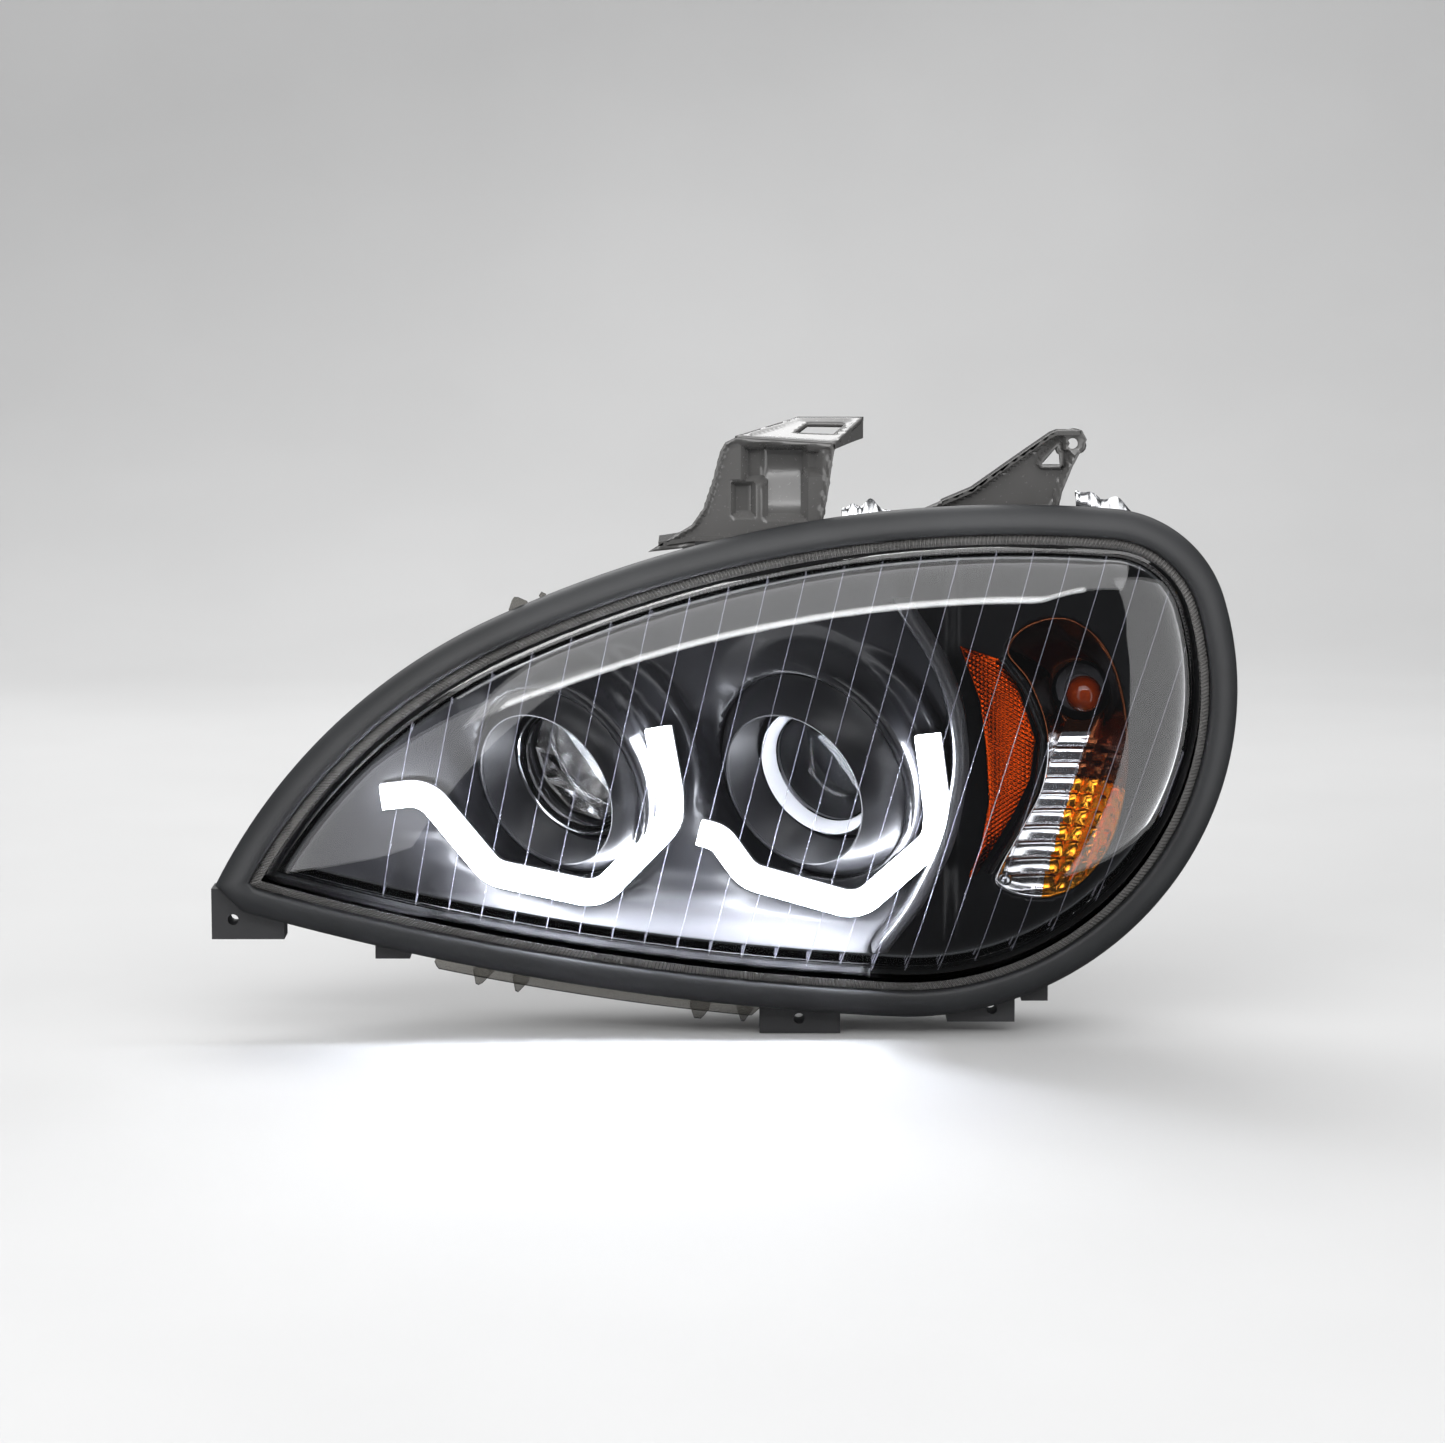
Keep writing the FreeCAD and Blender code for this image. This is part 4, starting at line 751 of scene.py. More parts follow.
def bezel_depth(x, z):
    """Depth of the bezel's face at a point."""
    edge = edge_distance(x, z)
    depth = shelf_depth(x, z, edge)
    soft = 7 if depth > TRIM_EDGE else 3
    depth += (TRIM_EDGE - depth) * ease(1 - edge / soft)
    depth = max(depth, dome_y(x, z, LENS_WALL) + 2.0)
    for side in ("high", "low"):
        out, angle, seam = pod_reading(side, x, z)
        lean = 0.5 + 0.5 * math.cos(angle - math.radians(60))
        reach = SEAM_FRAMES[side][1] * (0.75 + 0.45 * lean)
        depth += (seam - depth) * ease(1 - max(out, 0) / reach)
    return clear_of_optics(x, z, depth)


def grid(x0, x1, z0, z1, pitch, rise=1.0, stagger=0.0):
    """Even points over a rectangle; every second row starts further along by the stagger."""
    spots = []
    row, z = 0, z0
    while z < z1:
        x = x0 + stagger * (row % 2)
        while x < x1:
            spots.append((x, z))
            x += pitch
        z += pitch * rise
        row += 1
    return spots


def triangulated(loops, filling, kept):
    """Flat points and triangles between the loops, keeping the triangles whose centre passes."""
    points, edges = [], []
    for loop in loops:
        base = len(points)
        points.extend(loop)
        edges.extend((base + k, base + (k + 1) % len(loop)) for k in range(len(loop)))
    points += filling
    flat, _, triangles, _, _, _ = delaunay_2d_cdt([Vector(p) for p in points], edges, [], 0, 1e-4)
    centres = [(sum(flat[i][0] for i in tri) / 3, sum(flat[i][1] for i in tri) / 3) for tri in triangles]
    return flat, [tri for tri, centre in zip(triangles, centres) if kept(*centre)]


def build_bezel():
    """The satin black inner trim as one sheet with a thickness."""
    rim = [tuple(p) for p in outline(BEZEL_INSET, 3.0)[:-1]]
    spots = grid(-330, 262, -135, 145, 2.8, 0.87, 1.4)
    filling = [spot for spot in spots if edge_distance(*spot) > 1.2 and not inside_hole(*spot, 1.0)]
    seams = [[(p[0], p[2]) for p in optic_loop(side, *SEAM[side][:2], 120)] for side in ("high", "low")]
    loops = [rim] + seams + [[tuple(p) for p in MOUTH]]
    flat, faces = triangulated(loops, filling,
                               lambda x, z: edge_distance(x, z) > 0 and not inside_hole(x, z, 0.0))
    lifted = [(p[0], bezel_depth(p[0], p[1]), p[1]) for p in flat]
    bezel = mesh_piece("bezel_sheet", lifted, faces, MAT["bezel_black"], slot="bezel_black")
    bezel.data.materials.append(MAT["shelf_painted_glow"])
    # Faces left of the partition take the shelf material with its painted glow from the guides.
    for face in bezel.data.polygons:
        x, _, z = face.center / MM
        if x < partition_x(z) + 2:
            face.material_index = 1
    sheet_wall(bezel, 1.8)
    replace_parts(bezel, "bezel")


def inside_hole(x, z, margin):
    in_pod = any(pod_reading(side, x, z)[0] < margin for side in ("high", "low"))
    return in_pod or in_mouth(x, z, margin)


def inside_loop(loop, x, z):
    """True when the point is inside the closed loop."""
    inside = False
    a = loop[-1]
    for b in loop:
        if (b[1] > z) != (a[1] > z) and x < (a[0] - b[0]) * (z - b[1]) / (a[1] - b[1]) + b[0]:
            inside = not inside
        a = b
    return inside


def in_mouth(x, z, margin):
    """True inside the turn bowl's mouth, or within the margin of its edge."""
    near = float(np.hypot(MOUTH[:, 0] - x, MOUTH[:, 1] - z).min())
    return near < margin or inside_loop(MOUTH, x, z)


def build_partition():
    """The curved wall between the right pod and the turn lamp."""
    foot = FLOOR + 3
    loops = []
    for z in np.linspace(-106, 103, 61):
        x = partition_x(z)
        fore = min(max(dome_y(x, z) + 9, -146), -112)
        loops.append(np.array((
            (x - 2.2, foot, z), (x - 2.2, fore + 2.4, z), (x - 1.2, fore + 0.7, z), (x + 0.6, fore, z),
            (x + 4.5, fore + 0.8, z), (x + 7, fore + 3.4, z), (x + 9, foot, z),
        )))
    loft_piece("bezel_partition", loops, MAT["satin_silver"], False, True, sharp=40, slot="bezel_black")


# -------- shrouds

THROAT_RADIUS = 48.2
THROAT_RIDGES = 22


def build_shroud(side):
    """The conical pod ring and its ridged throat."""
    radius, t, _ = SEAM[side]
    profile = [(radius - 1.5, t - 3.0), (radius - 1.5, t - 0.8), (radius - 2.3, t + 0.1)]
    for k in range(1, 9):
        share = k / 8
        bulge = 1.6 * math.sin(math.pi * share)
        profile.append((radius - 2.3 + (51.3 - radius) * share + bulge * 0.4,
                        t + 0.1 + (25.9 - t) * share + bulge))
    profile += [(49.2, 26.3), (48.4, 26.1), (47.8, 25.4)]
    for k in range(THROAT_RIDGES):
        y = 24.6 - (24.6 + 6) * k / THROAT_RIDGES
        profile += [(THROAT_RADIUS, y), (THROAT_RADIUS - 0.7, y - 0.7)]
    profile += [(47.5, -6.4), (47.5, -8.4), (radius - 4, t - 6)]
    shroud = lathe("shroud_" + side + "_skin", side, profile, MAT["bezel_satin"], 144, sharp=35,
                   slot="bezel_black")
    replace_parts(shroud, "shroud_" + side)


def build_seam(side):
    """The dark backing under the seam between shroud and bezel."""
    radius, t, _ = SEAM[side]
    profile = [(radius - 3, t - 7), (radius + 2.5, t - 7), (radius + 2.5, t - 4), (radius - 3, t - 4)]
    lathe("seam_backing_" + side, side, profile, MAT["housing_black"], slot="bezel_black")


# -------- light guides

# Corners of each guide along and up its own flat plane, from the inner end to the outer one.
GUIDE_PATHS = {
    "high": ((-87, -16.5), (-61, -13), (-20, -61), (45, -73), (88, -28), (88, -10), (81, 29)),
    "low": ((-72, -37), (-60, -40), (-43, -63), (24, -80), (70, -38), (71, -20), (65, 25)),
}
GUIDE_SPOTS = {"high": (-150.0, -125.0), "low": (26.0, -129.0)}
GUIDE_TILT = math.radians(-8.8)
GUIDE_CORNER = 20


def rounded(points, radius, arc_steps=10):
    """A polyline with its corners rounded."""
    corners = [np.array(p, float) for p in points]
    made = [corners[0]]
    for before, here, after in zip(corners, corners[1:], corners[2:]):
        a, b = before - here, after - here
        la, lb = np.linalg.norm(a), np.linalg.norm(b)
        a, b = a / la, b / lb
        half = math.acos(np.clip(a @ b, -1, 1)) / 2
        cut = min(radius / math.tan(half), 0.45 * min(la, lb))
        arc = cut * math.tan(half)
        bisector = (a + b) / np.linalg.norm(a + b)
        centre = here + bisector * (arc / math.sin(half))
        start, end = here + a * cut, here + b * cut
        u, v = start - centre, end - centre
        turn = math.acos(np.clip((u @ v) / (arc * arc), -1, 1))
        for k in range(arc_steps + 1):
            s = k / arc_steps
            mix = (math.sin((1 - s) * turn) * u + math.sin(s * turn) * v) / math.sin(turn)
            made.append(centre + mix)
    made.append(corners[-1])
    return np.array(made)


def guide_world(side, x, y, z):
    bx, by = GUIDE_SPOTS[side]
    c, s = math.cos(GUIDE_TILT), math.sin(GUIDE_TILT)
    return (bx + x * c - y * s, by + x * s + y * c, z)


def strip_sweep(name, side, section, material, **options):
    """A strip that keeps its section square to the guide's path."""
    path = rounded(GUIDE_PATHS[side], GUIDE_CORNER)
    step = np.gradient(path, axis=0)
    step /= np.linalg.norm(step, axis=1)[:, None]
    normal = np.column_stack((-step[:, 1], step[:, 0]))
    loops = [np.array([guide_world(side, p[0] + n[0] * w, y, p[1] + n[1] * w) for w, y in section])
             for p, n in zip(path, normal)]
    return loft_piece(name, loops, material, False, True, **options)


def build_guide(side):
    """The lit bar with rounded edges and a dark tray behind it."""
    section = []
    for cx, cy, start in ((6.2, 2.9, 0), (-6.2, 2.9, 90), (-6.2, -2.8, 180), (6.2, -2.8, 270)):
        for k in range(4):
            angle = math.radians(start + 30 * k)
            section.append((cx + 1.2 * math.cos(angle), cy + 1.2 * math.sin(angle)))
    guide = strip_sweep("guide_bar_" + side, side, section, MAT["guide_white"], sharp=50,
                        slot="guide_white")
    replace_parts(guide, "light_guide_" + side)
    back = [(8.0, 4.2), (-8.0, 4.2), (-8.0, 8.0), (8.0, 8.0)]
    strip_sweep("guide_tray_" + side, side, back, MAT["bezel_black"], smooth=False, slot="bezel_black")


# -------- projectors

def build_lens_ring(side):
    """The bright ring round the projector lens: a thin rim or a deep cone."""
    if side == "high":
        inner = [(40.0, 1.2), (39.2, 0.6), (38.7, -1.2), (38.4, -5.0)]
    else:
        inner = [(39.8, 1.0), (38.6, -1.4), (37.4, -4.0), (36.2, -6.8), (35.3, -9.0)]
    foot = inner[-1][1] - 1.6
    profile = [(inner[-1][0], foot), (41.0, foot), (41.0, -3.2), (40.6, -2.8), (41.0, -2.4),
               (41.0, -0.4), (40.7, 0.7)] + inner
    # The low ring takes the pale material whose white colour is a painted reflection.
    material = MAT["chrome" if side == "high" else "ring_satin"]
    ring = lathe("ring_bright_" + side, side, profile, material, 128, sharp=40, body="optics",
                 slot="chrome")
    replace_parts(ring, "lens_ring_" + side)


def build_lens_glass(side, radius, seat, crown):
    """A flat-backed lens with a rounded front."""
    profile = [(0.01, seat - 2.4), (radius - 1, seat - 2.4), (radius, seat - 1.6), (radius, seat)]
    rise = crown - seat
    ball = (radius ** 2 + rise ** 2) / (2 * rise)
    for k in range(1, 15):
        r = radius * (1 - k / 14)
        profile.append((max(r, 0.01), crown - ball + math.sqrt(ball * ball - r * r)))
    glass = lathe("glass_" + side, side, profile, MAT["clear_glass"], sharp=30, body="optics",
                  slot="clear_glass")
    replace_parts(glass, "projector_lens_" + side)


def build_holder(side):
    """The black tube that carries the lens, with rings moulded round it."""
    profile = [(37.8, -11.5), (40.6, -11.5)]
    for k in range(4):
        t = -13.0 - 3.0 * k
        profile += [(41.0, t), (41.0, t - 1.6), (40.3, t - 2.0), (40.3, t - 2.6)]
    profile += [(41.0, -27.0), (41.6, -50.0), (49.0, -50.0), (49.0, -54.0), (40.0, -54.0), (38.2, -25.0)]
    holder = lathe("holder_tube_" + side, side, profile, MAT["housing_black"], sharp=35, body="optics",
                   slot="housing_black")
    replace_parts(holder, "lens_holder_" + side)


def build_faceted_bowl():
    """The bright bowl of the left projector, cut into flat facets."""
    rows = ((36.4, -12.0), (34.0, -30.0), (29.6, -52.0), (22.5, -74.0), (12.0, -92.0))
    sectors, wall = 10, 0.9
    loops = [optic_loop("high", r, t, sectors, 0.5 * (i % 2)) for i, (r, t) in enumerate(rows)]
    loops += [optic_loop("high", r + wall, t, sectors, 0.5 * (i % 2)) for i, (r, t) in enumerate(rows)]
    faces = []
    last, base = (len(rows) - 1) * sectors, len(rows) * sectors
    for k in range(sectors):
        n = (k + 1) % sectors
        for index in range(len(rows) - 1):
            a, b = index * sectors, (index + 1) * sectors
            if index % 2:
                faces += [(a + k, b + n, b + k), (a + k, a + n, b + n)]
            else:
                faces += [(a + k, a + n, b + k), (a + n, b + n, b + k)]
            faces.append((base + a + k, base + b + k, base + b + n, base + a + n))
        faces.append((k, base + k, base + n, n))
        faces.append((last + k, last + n, base + last + n, base + last + k))
    bowl = mesh_piece("bowl_high", np.vstack(loops), faces, MAT["bowl_metal"], smooth=False, body="optics",
                      slot="chrome")
    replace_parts(bowl, "reflector_high")


def build_shield():
    """The cut-off shield with its stepped edge and rolled lip."""
    shape = [(36.5 * math.cos(a), 36.5 * math.sin(a)) for a in np.linspace(math.pi, 2 * math.pi, 49)]
    shape += [(36.5, -4.0), (3.0, -4.0), (-3.0, -0.5), (-36.5, -0.5)]
    loops = [np.array([optic_point("low", a, b, t) for a, b in shape]) for t in (-44.0, -42.2)]
    plate = loft_piece("shield_plate", loops, MAT["steel"], False, True, smooth=False, body="optics",
                       slot="steel")
    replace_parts(plate, "cutoff_shield")
    turns = [math.radians(45 * k) for k in range(8)]
    lip = [np.array([optic_point("low", a, b + 1.1 * math.cos(turn), -43.1 + 1.6 * math.sin(turn))
                     for turn in turns]) for a, b in ((-34, -0.5), (-3, -0.5), (3, -4.0), (34, -4.0))]
    loft_piece("shield_lip", lip, MAT["chrome_soft"], False, True, body="optics", slot="steel")


# -------- turn lamp

BULB_X, BULB_Z = 189, 40
BOWL_STEPS = 120


def bowl_grid():
    """Points of the turn bowl from its mouth to the bulb opening."""
    grid = np.zeros((len(MOUTH), BOWL_STEPS + 1, 3))
    for i, (x, z) in enumerate(MOUTH):
        angle = math.atan2(z - BULB_Z, x - BULB_X)
        back = np.array((BULB_X + 18.5 * math.cos(angle), BULB_Z + 18.5 * math.sin(angle)))
        for j in range(BOWL_STEPS + 1):
            v = j / BOWL_STEPS
            flat = np.array((x, z)) * (1 - v) + back * v
            grid[i, j] = (flat[0], -97.0 + 50.0 * math.sin(v * math.pi / 2) ** 0.9, flat[1])
    return grid


def past_bars(x, z):
    """How far a point lies right of the slanted line where the plain bars end."""
    return x - (162 + 0.36 * (z + 78))


def build_turn_bowl():
    """The bright bowl, with rows of rounded steps up its lower flank."""
    grid = bowl_grid()
    axis = np.array((188.0, -125.0, 60.0))
    made = grid.copy()
    for i in range(len(grid)):
        for j in range(BOWL_STEPS + 1):
            p = grid[i, j]
            row = abs(math.sin(math.pi * (p[2] + 78) / 9.2)) ** 0.6
            if past_bars(p[0], p[2]) > 0:
                row *= abs(math.sin(math.pi * (past_bars(p[0], p[2]) + 2) / 8.4)) ** 0.6
            inward = axis - p
            inward /= np.linalg.norm(inward)
            fade = min(1.0, j / 4, (BOWL_STEPS - j) / 8) * ease((12 - p[2]) / 12)
            made[i, j] = p + inward * 3.4 * row * fade
    faces = ring_faces(len(grid), BOWL_STEPS + 1, False, True)
    bowl = mesh_piece("turn_bowl", made.reshape(-1, 3), faces, MAT["chrome_soft"], slot="chrome")
    bowl.data.materials.append(MAT["amber_chrome"])
    bowl.data.materials.append(MAT["smoked_chrome"])
    for face in bowl.data.polygons:
        x, _, z = face.center / MM
        # Lower faces past the bars take the amber copy of the chrome: a painted reflection of the bulb.
        if z < -14 and past_bars(x, z) > 0:
            face.material_index = 1
        # The upper faces, and the middle faces past the bars, take the dark copy of the chrome: painted
        # shade.
        elif z > 14 or (z > -14 and past_bars(x, z) > 0):
            face.material_index = 2
    sheet_wall(bowl, 1.6)
    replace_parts(bowl, "turn_reflector")


WEDGE_LEFT = ((111, 75), (123, 42), (127, 11), (129, -19), (124, -50), (118, -65))
WEDGE_RIGHT = ((135, 66), (147, 48), (157, 17), (154, -7), (142, -32), (122, -66))


def blend_line(line, share):
    """A point along a polyline by share of its corner count."""
    place = share * (len(line) - 1)
    k = min(int(place), len(line) - 2)
    f = place - k
    a, b = np.array(line[k], float), np.array(line[k + 1], float)
    return a + (b - a) * f


def build_wedge():
    """The amber side reflector: a curved blade covered with small domes."""
    rows, columns = 230, 60
    points = []
    for s in np.linspace(0, 1, rows + 1):
        left, right = blend_line(WEDGE_LEFT, s), blend_line(WEDGE_RIGHT, s)
        for f in np.linspace(0, 1, columns + 1):
            p = left + (right - left) * f
            cell_a = math.sin(math.pi * (p[0] * 0.5 + p[1] * 0.866) / 2.5)
            cell_b = math.sin(math.pi * (p[0] * 0.5 - p[1] * 0.866) / 2.5)
            edge = min(1.0, 8 * f, 8 * (1 - f), 20 * s, 20 * (1 - s))
            points.append((p[0], -104.0 - 10 * (1 - f) ** 1.5 - abs(cell_a * cell_b) * edge, p[1]))
    faces = ring_faces(rows + 1, columns + 1, False)
    wedge = mesh_piece("amber_blade", points, faces, MAT["amber_blade"], slot="amber")
    sheet_wall(wedge, 1.6)
    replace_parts(wedge, "side_reflector")


def build_divider():
    """The dark curved rim beside the amber blade."""
    line = ((135, 66), (149, 48), (160, 20), (157, -12), (145, -38), (129, -64))
    section = ((-1.0, -97.0), (-0.6, -108.5), (1.0, -110.0), (2.4, -108.5), (3.4, -97.0))
    spots = [blend_line(line, k / 32) for k in range(33)]
    loops = [np.array([(x + aside, y, z) for aside, y in section]) for x, z in spots]
    rim = loft_piece("turn_rim", loops, MAT["bezel_black"], False, True, slot="bezel_black")
    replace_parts(rim, "turn_divider")


def build_turn_bulb():
    """The amber bulb with its dimpled tip."""
    profile = [(0.01, -46.0), (7.5, -46.0), (7.5, -54.0), (9.6, -58.0), (10.9, -63.0), (11.0, -67.0),
               (10.2, -71.0), (8.2, -74.6), (5.0, -76.8), (2.2, -77.4), (0.01, -77.0)]
    turns = [math.radians(5.625 * k) for k in range(64)]
    loops = [np.array([(BULB_X + r * math.cos(a), y, BULB_Z + r * math.sin(a)) for a in turns])
             for r, y in profile]
    bulb = loft_piece("bulb_amber", loops, MAT["amber_glass"], sharp=40, body="turn_holder",
                      slot="amber_glass")
    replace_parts(bulb, "turn_bulb")


# -------- brackets and clips

def loop_distance(loop, x, z):
    """Distance from the point to the nearest side of the loop."""
    here = np.array(loop, float)
    run = np.roll(here, -1, axis=0) - here
    share = np.clip(((np.array((x, z)) - here) * run).sum(1) / (run * run).sum(1), 0, 1)
    near = here + run * share[:, None]
    return float(np.hypot(near[:, 0] - x, near[:, 1] - z).min())


def filled(loop, step):
    """The loop with points added so that no side is longer than the step."""
    made = []
    for (ax, az), (bx, bz) in zip(loop, list(loop[1:]) + [loop[0]]):
        parts = max(1, int(math.hypot(bx - ax, bz - az) / step))
        made.extend((ax + (bx - ax) * k / parts, az + (bz - az) * k / parts) for k in range(parts))
    return made


def cut_sheet(name, rim, holes, place, pitch):
    """A moulded sheet: a flat outline with holes, pressed into shape by place()."""
    loops = [filled(loop, pitch) for loop in [rim] + holes]

    def kept(x, z):
        return inside_loop(loops[0], x, z) and not any(inside_loop(hole, x, z) for hole in loops[1:])

    xs, zs = zip(*rim)
    filling = [spot for spot in grid(min(xs), max(xs), min(zs), max(zs), pitch)
               if kept(*spot) and min(loop_distance(loop, *spot) for loop in loops) > 0.5 * pitch]
    flat, faces = triangulated(loops, filling, kept)
    placed = [place(p[0], p[1]) for p in flat]
    sheet = mesh_piece(name, placed, faces, MAT["bracket_grey"], sharp=42, slot="bracket_grey")
    sheet_wall(sheet, 2.6)
    return sheet


def pocket(x, z, x0, x1, z0, z1, deep, soft):
    """Depth of one moulded pocket with sloping, rounded sides."""
    return deep * ease(min(x - x0, x1 - x, z - z0, z1 - z) / soft)


INNER_RIM = [
    (-76, 130), (-62, 139), (-50, 146), (-43, 156), (-37, 174), (-33, 190), (-30, 195.5), (-24, 198.5),
    (36, 194.5), (34, 182), (32, 167), (29, 150), (28.5, 137), (-40, 134),
]
OUTER_RIM = [
    (84, 154), (100, 161), (118, 168.5), (142, 185.5), (165, 201.5), (169, 203), (183.5, 203),
    (186.5, 197.5), (178, 181), (172, 166), (169, 152), (100, 150),
]
TRIANGLE = [(159.5, 182.5), (169.5, 194), (170.5, 182.5)]


OUTER_HOLE = (178, 195, 3.3)
LID_RIM = [(-24, 0), (36, 0), (54, 40), (14, 40)]
LID_WINDOW = [(12, 15), (35, 15), (43, 32), (20, 32)]
BRACKET_FACE = -97.0


def inner_place(x, z):
    y = BRACKET_FACE + 2.4 * ease((loop_distance(INNER_RIM, x, z) - 1.6) / 1.6)
    y += pocket(x, z, -20, -3.5, 171, 194, 12, 4)
    y += pocket(x, z, -27, -11, 150, 173, 9, 4)
    y += pocket(x, z, -8, 20, 148, 194, 15, 4.5) * (0.45 + 0.55 * ease((z - 152) / 30))
    y += pocket(x, z, 15, 28.5, 175, 192, 9, 4)
    return (x, y, z)


def outer_place(x, z):
    y = BRACKET_FACE + 5.5 * ease((loop_distance(OUTER_RIM, x, z) - 2.2) / 2.0)
    hole_x, hole_z, radius = OUTER_HOLE
    if loop_distance(TRIANGLE, x, z) < 2.4 or math.hypot(x - hole_x, z - hole_z) < radius + 2.3:
        y = BRACKET_FACE + 1.5
    return (x, y, z)


def lid_place(x, across):
    """The top plate: across runs from 0 at its front crease to 40 at its rear edge."""
    share = across / 40
    front = 198.5 - 4.0 * min(max((x + 24 - 30 * share) / 60, 0), 1)
    rim = 1.2 * ease((3.6 - loop_distance(LID_RIM, x, across)) / 1.2)
    return (x, BRACKET_FACE + 38 * share, front + (207.4 - front) * share + rim)


def bracket_wall(name, line, section):
    """A wall of a bracket: one section of (depth, rise) points carried along a line."""
    loops = [np.array([(x, y, z + rise) for y, rise in section]) for x, z in line]
    loft_piece(name, loops, MAT["bracket_grey"], False, True, smooth=False, slot="bracket_grey")


def build_brackets():
    """The two moulded brackets with their pockets, rims and windows."""
    inner = cut_sheet("bracket_inner_face", INNER_RIM, [], inner_place, 1.5)
    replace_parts(inner, "upper_bracket_inner")
    cut_sheet("bracket_inner_lid", LID_RIM, [LID_WINDOW], lid_place, 2.5)
    tab = []
    for k in range(9):
        x, y, z = lid_place(35.8 + 18 * k / 8, 5 * k)
        low = z - 4 - 9 * k / 8
        tab.append(np.array([(x - 2.6, y, z - 1), (x, y, z - 0.4), (x, y, low), (x - 2.6, y, low)]))
    loft_piece("bracket_inner_tab", tab, MAT["bracket_grey"], False, True, smooth=False,
               slot="bracket_grey")
    bracket_wall("bracket_inner_foot", ((-70, 136), (-50, 139), (-20, 139), (28, 140)),
                 ((-97, 0), (-66, 1), (-66, -2), (-97, -2.6)))
    hole_x, hole_z, radius = OUTER_HOLE
    turns = np.linspace(0, 2 * math.pi, 21)[:-1]
    round_hole = [(hole_x + radius * math.cos(a), hole_z + radius * math.sin(a)) for a in turns]
    outer = cut_sheet("bracket_outer_face", OUTER_RIM, [TRIANGLE, round_hole], outer_place, 1.8)
    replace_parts(outer, "upper_bracket_outer")
    bracket_wall("bracket_outer_edge",
                 ((100, 160.4), (118, 168), (142, 185), (165, 201), (169, 202.6), (183, 202.6)),
                 ((-97, 0), (-80, 0), (-80, -2.4), (-97, -2.4)))


def build_clips():
    """Two bent steel clips with a raised bead, as one piece."""
    points, faces = [], []
    across, bends = 28, 7
    for cx, cz, half, lean in ((55, 150.5, 15, -0.05), (202, 152.5, 22, -0.42)):
        base = len(points)
        for i in range(across + 1):
            u = -1 + 2 * i / across
            bead = 1.4 * math.cos(math.pi * 3.5 * u) ** 2
            peak = 2.0 + 6.5 * math.exp(-((u - 0.15) / 0.3) ** 2) + 3 * math.exp(-((u + 0.55) / 0.2) ** 2)
            line = ((-101.2, -4), (-101.4, 0), (-101.2 + bead, 3), (-99.6 + bead, 3 + peak * 0.7),
                    (-97, 3.5 + peak), (-94, 3.2 + peak * 0.85), (-93, 1 + peak * 0.4))
            points.extend((cx + half * u, y, cz + lean * half * u + z) for y, z in line)
        faces += [tuple(base + i for i in face) for face in ring_faces(across + 1, bends, False)]
    clips = mesh_piece("clip_leaves", points, faces, MAT["steel"], sharp=45, slot="steel")
    sheet_wall(clips, 0.8)
    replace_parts(clips, "spring_clips")


# -------- carried-over nodes

def finish_nodes():
    """Procedural finish and softened edges for every node that stays visible."""
    slots = {s["node"]: s["material_slot"] for s in frame["record"]["subparts"]}
    replaced = {name for piece in bpy.data.objects for name in piece.get("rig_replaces", [])}
    for name, node in NODES.items():
        if node.hide_render or name in replaced:
            continue
        node.data.materials.clear()
        node.data.materials.append(MAT[slots[name]])
        weld = node.modifiers.new("join_corners", "WELD")
        weld.merge_threshold = 0.01 * MM
        bevel = node.modifiers.new("soft_edges", "BEVEL")
        bevel.width = (0.6 if name == "housing" else 0.3) * MM
        bevel.segments = 2
        bevel.limit_method = "ANGLE"
        bevel.angle_limit = math.radians(35)


# -------- stage

def build_floor():
    """A pale floor that curves up into a back wall."""
    made, tree, shader = main_shader("floor_pale", (0.6, 0.6, 0.6), 0.8)
    tint(tree, shader, noise(tree, 2.0, 3.0), "Fac", (0.55, 0.55, 0.55), (0.58, 0.58, 0.58))
    level = CAD_LOW[2] - 0.0004
    half, back, bend, top = 7.0, 1.6, 1.2, 5.0
    profile = [(-1.15, 0.0), (back, 0.0)]
    for k in range(1, 13):
        angle = math.radians(90 * k / 12)
        profile.append((back + bend * math.sin(angle), bend - bend * math.cos(angle)))
    profile.append((back + bend, top))
    points = [(x, y, level + z) for y, z in profile for x in (-half, half)]
    mesh = bpy.data.meshes.new("floor")
    mesh.from_pydata(points, [], [(a, a + 1, a + 3, a + 2) for a in range(0, len(points) - 2, 2)])
    for polygon in mesh.polygons:
        polygon.use_smooth = True
    mesh.materials.append(made)
    floor = bpy.data.objects.new("floor", mesh)
    bpy.context.collection.objects.link(floor)
    floor.visible_glossy = False


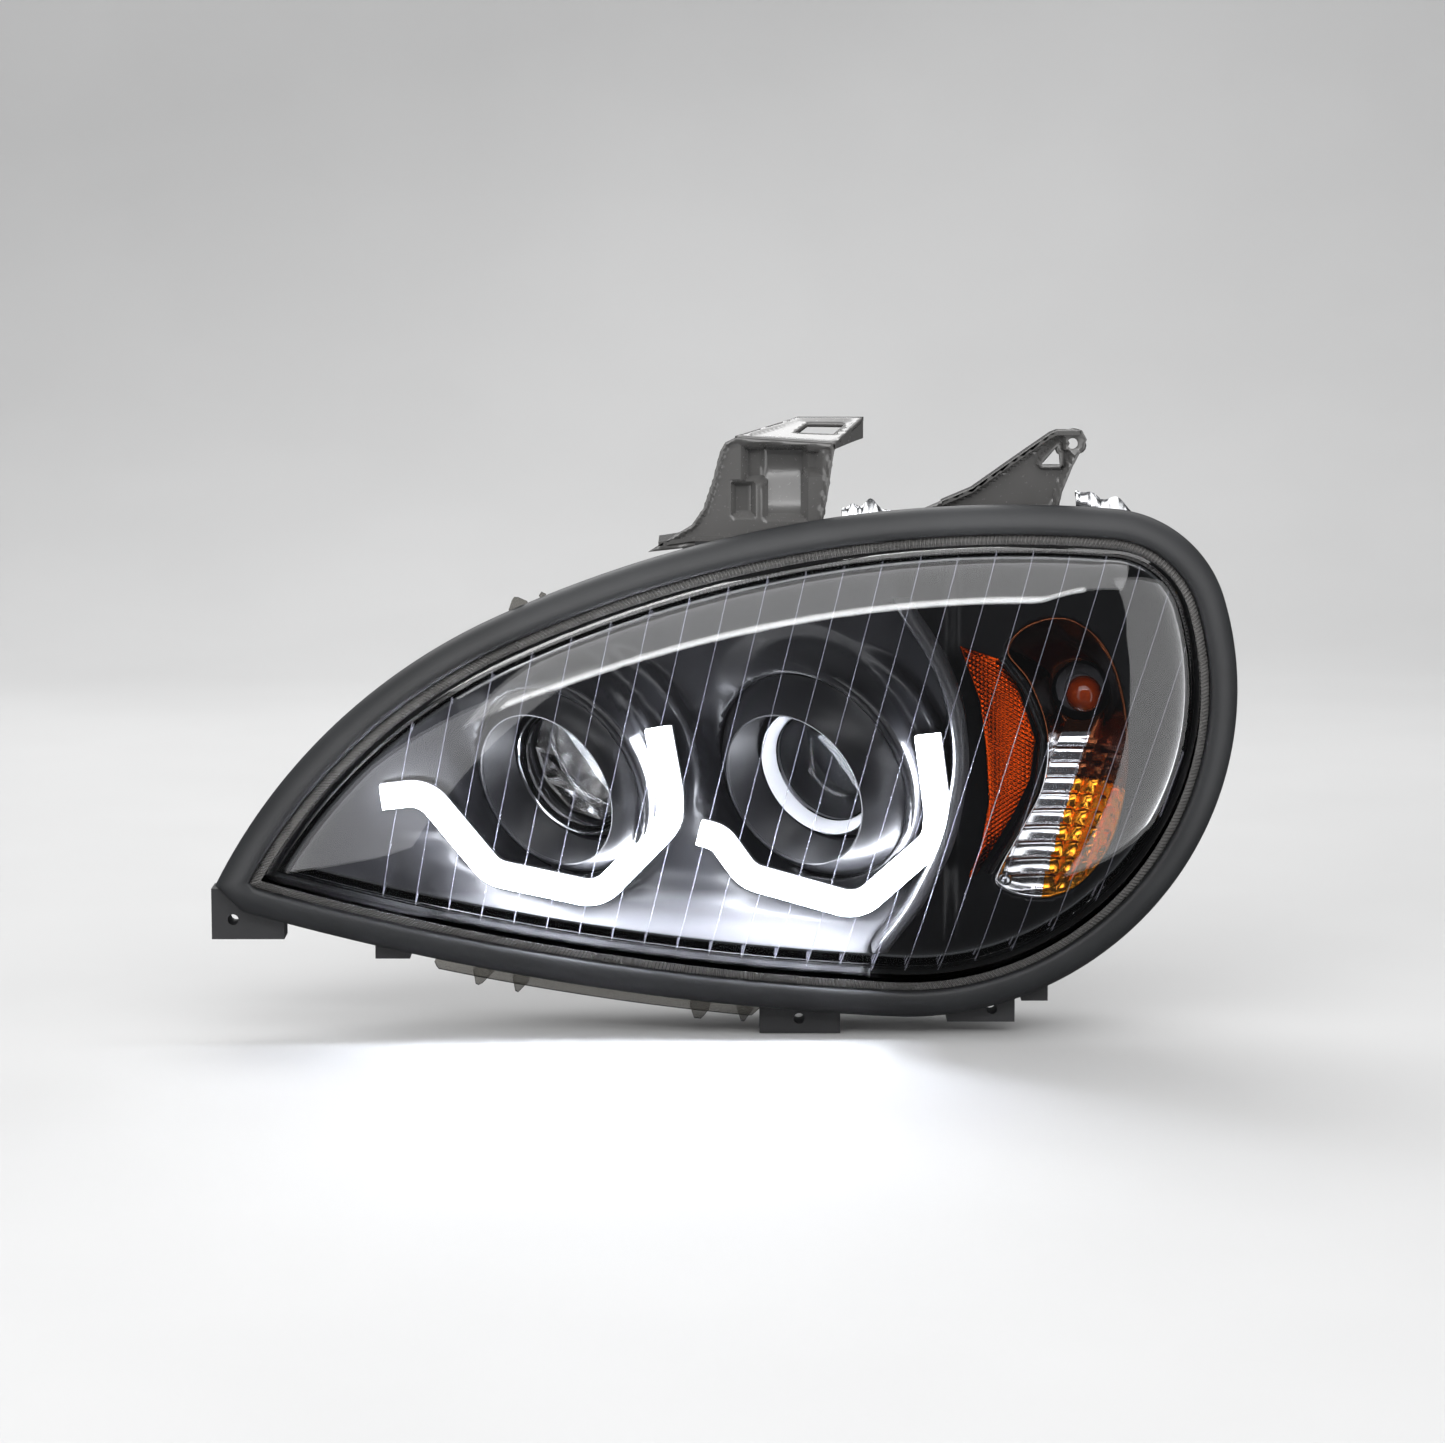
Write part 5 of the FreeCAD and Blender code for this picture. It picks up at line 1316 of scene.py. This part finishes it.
def softbox(name, place, target, width, height, power):
    lamp = bpy.data.lights.new(name, "AREA")
    lamp.shape = "RECTANGLE"
    lamp.size = width
    lamp.size_y = height
    lamp.energy = power
    made = bpy.data.objects.new(name, lamp)
    bpy.context.collection.objects.link(made)
    made.location = place
    made.rotation_euler = (Vector(target) - Vector(place)).to_track_quat("-Z", "Y").to_euler()
    made.visible_camera = False


def build_light():
    world = bpy.data.worlds.new("studio")
    bpy.context.scene.world = world
    world.use_nodes = True
    sky = world.node_tree.nodes["Background"]
    sky.inputs["Color"].default_value = (0.6, 0.62, 0.65, 1)
    sky.inputs["Strength"].default_value = 0.1
    middle = (0, -0.1, 0)
    softbox("box_top", (0.0, -1.45, 1.7), middle, 2.8, 2.0, 44)
    softbox("strip_top", (-0.15, -2.17, 1.12), middle, 2.0, 0.14, 9)
    softbox("box_left", (-1.75, -1.8, 0.1), middle, 2.2, 3.0, 34)
    softbox("box_right", (1.85, -1.4, 0.05), middle, 1.9, 3.0, 33)
    softbox("box_rear", (-0.5, 1.35, 1.55), (0, 0, 0), 1.8, 0.9, 24)
    softbox("box_back", (0.0, 1.2, 2.2), (0, 0.9, 0), 4.0, 1.4, 40)


def build_camera():
    """A long lens ahead of the lamp's face and a little above it."""
    eye, target = Vector((-0.0315, -2.6867, 0.3913)), Vector((-0.0315, -0.112, 0.0294))
    lens = bpy.data.cameras.new("front_view")
    lens.sensor_width = 36
    lens.lens = 107.96
    lens.clip_end = 50
    camera = bpy.data.objects.new("front_view", lens)
    bpy.context.collection.objects.link(camera)
    camera.location = eye
    camera.rotation_euler = (target - eye).to_track_quat("-Z", "Y").to_euler()
    bpy.context.scene.camera = camera


build_lens()
build_lens_strip()
build_lens_ribs()
build_lens_lines()
build_gasket()
build_bezel()
build_partition()
for side in ("high", "low"):
    build_shroud(side)
    build_seam(side)
    build_guide(side)
    build_lens_ring(side)
    build_holder(side)
build_lens_glass("high", 38.0, -3.0, 6.0)
build_lens_glass("low", 35.2, -7.0, 5.0)
build_faceted_bowl()
build_shield()
build_turn_bowl()
build_wedge()
build_divider()
build_turn_bulb()
build_brackets()
build_clips()
finish_nodes()
build_floor()
build_light()
build_camera()
bpy.context.scene.view_settings.view_transform = "Standard"
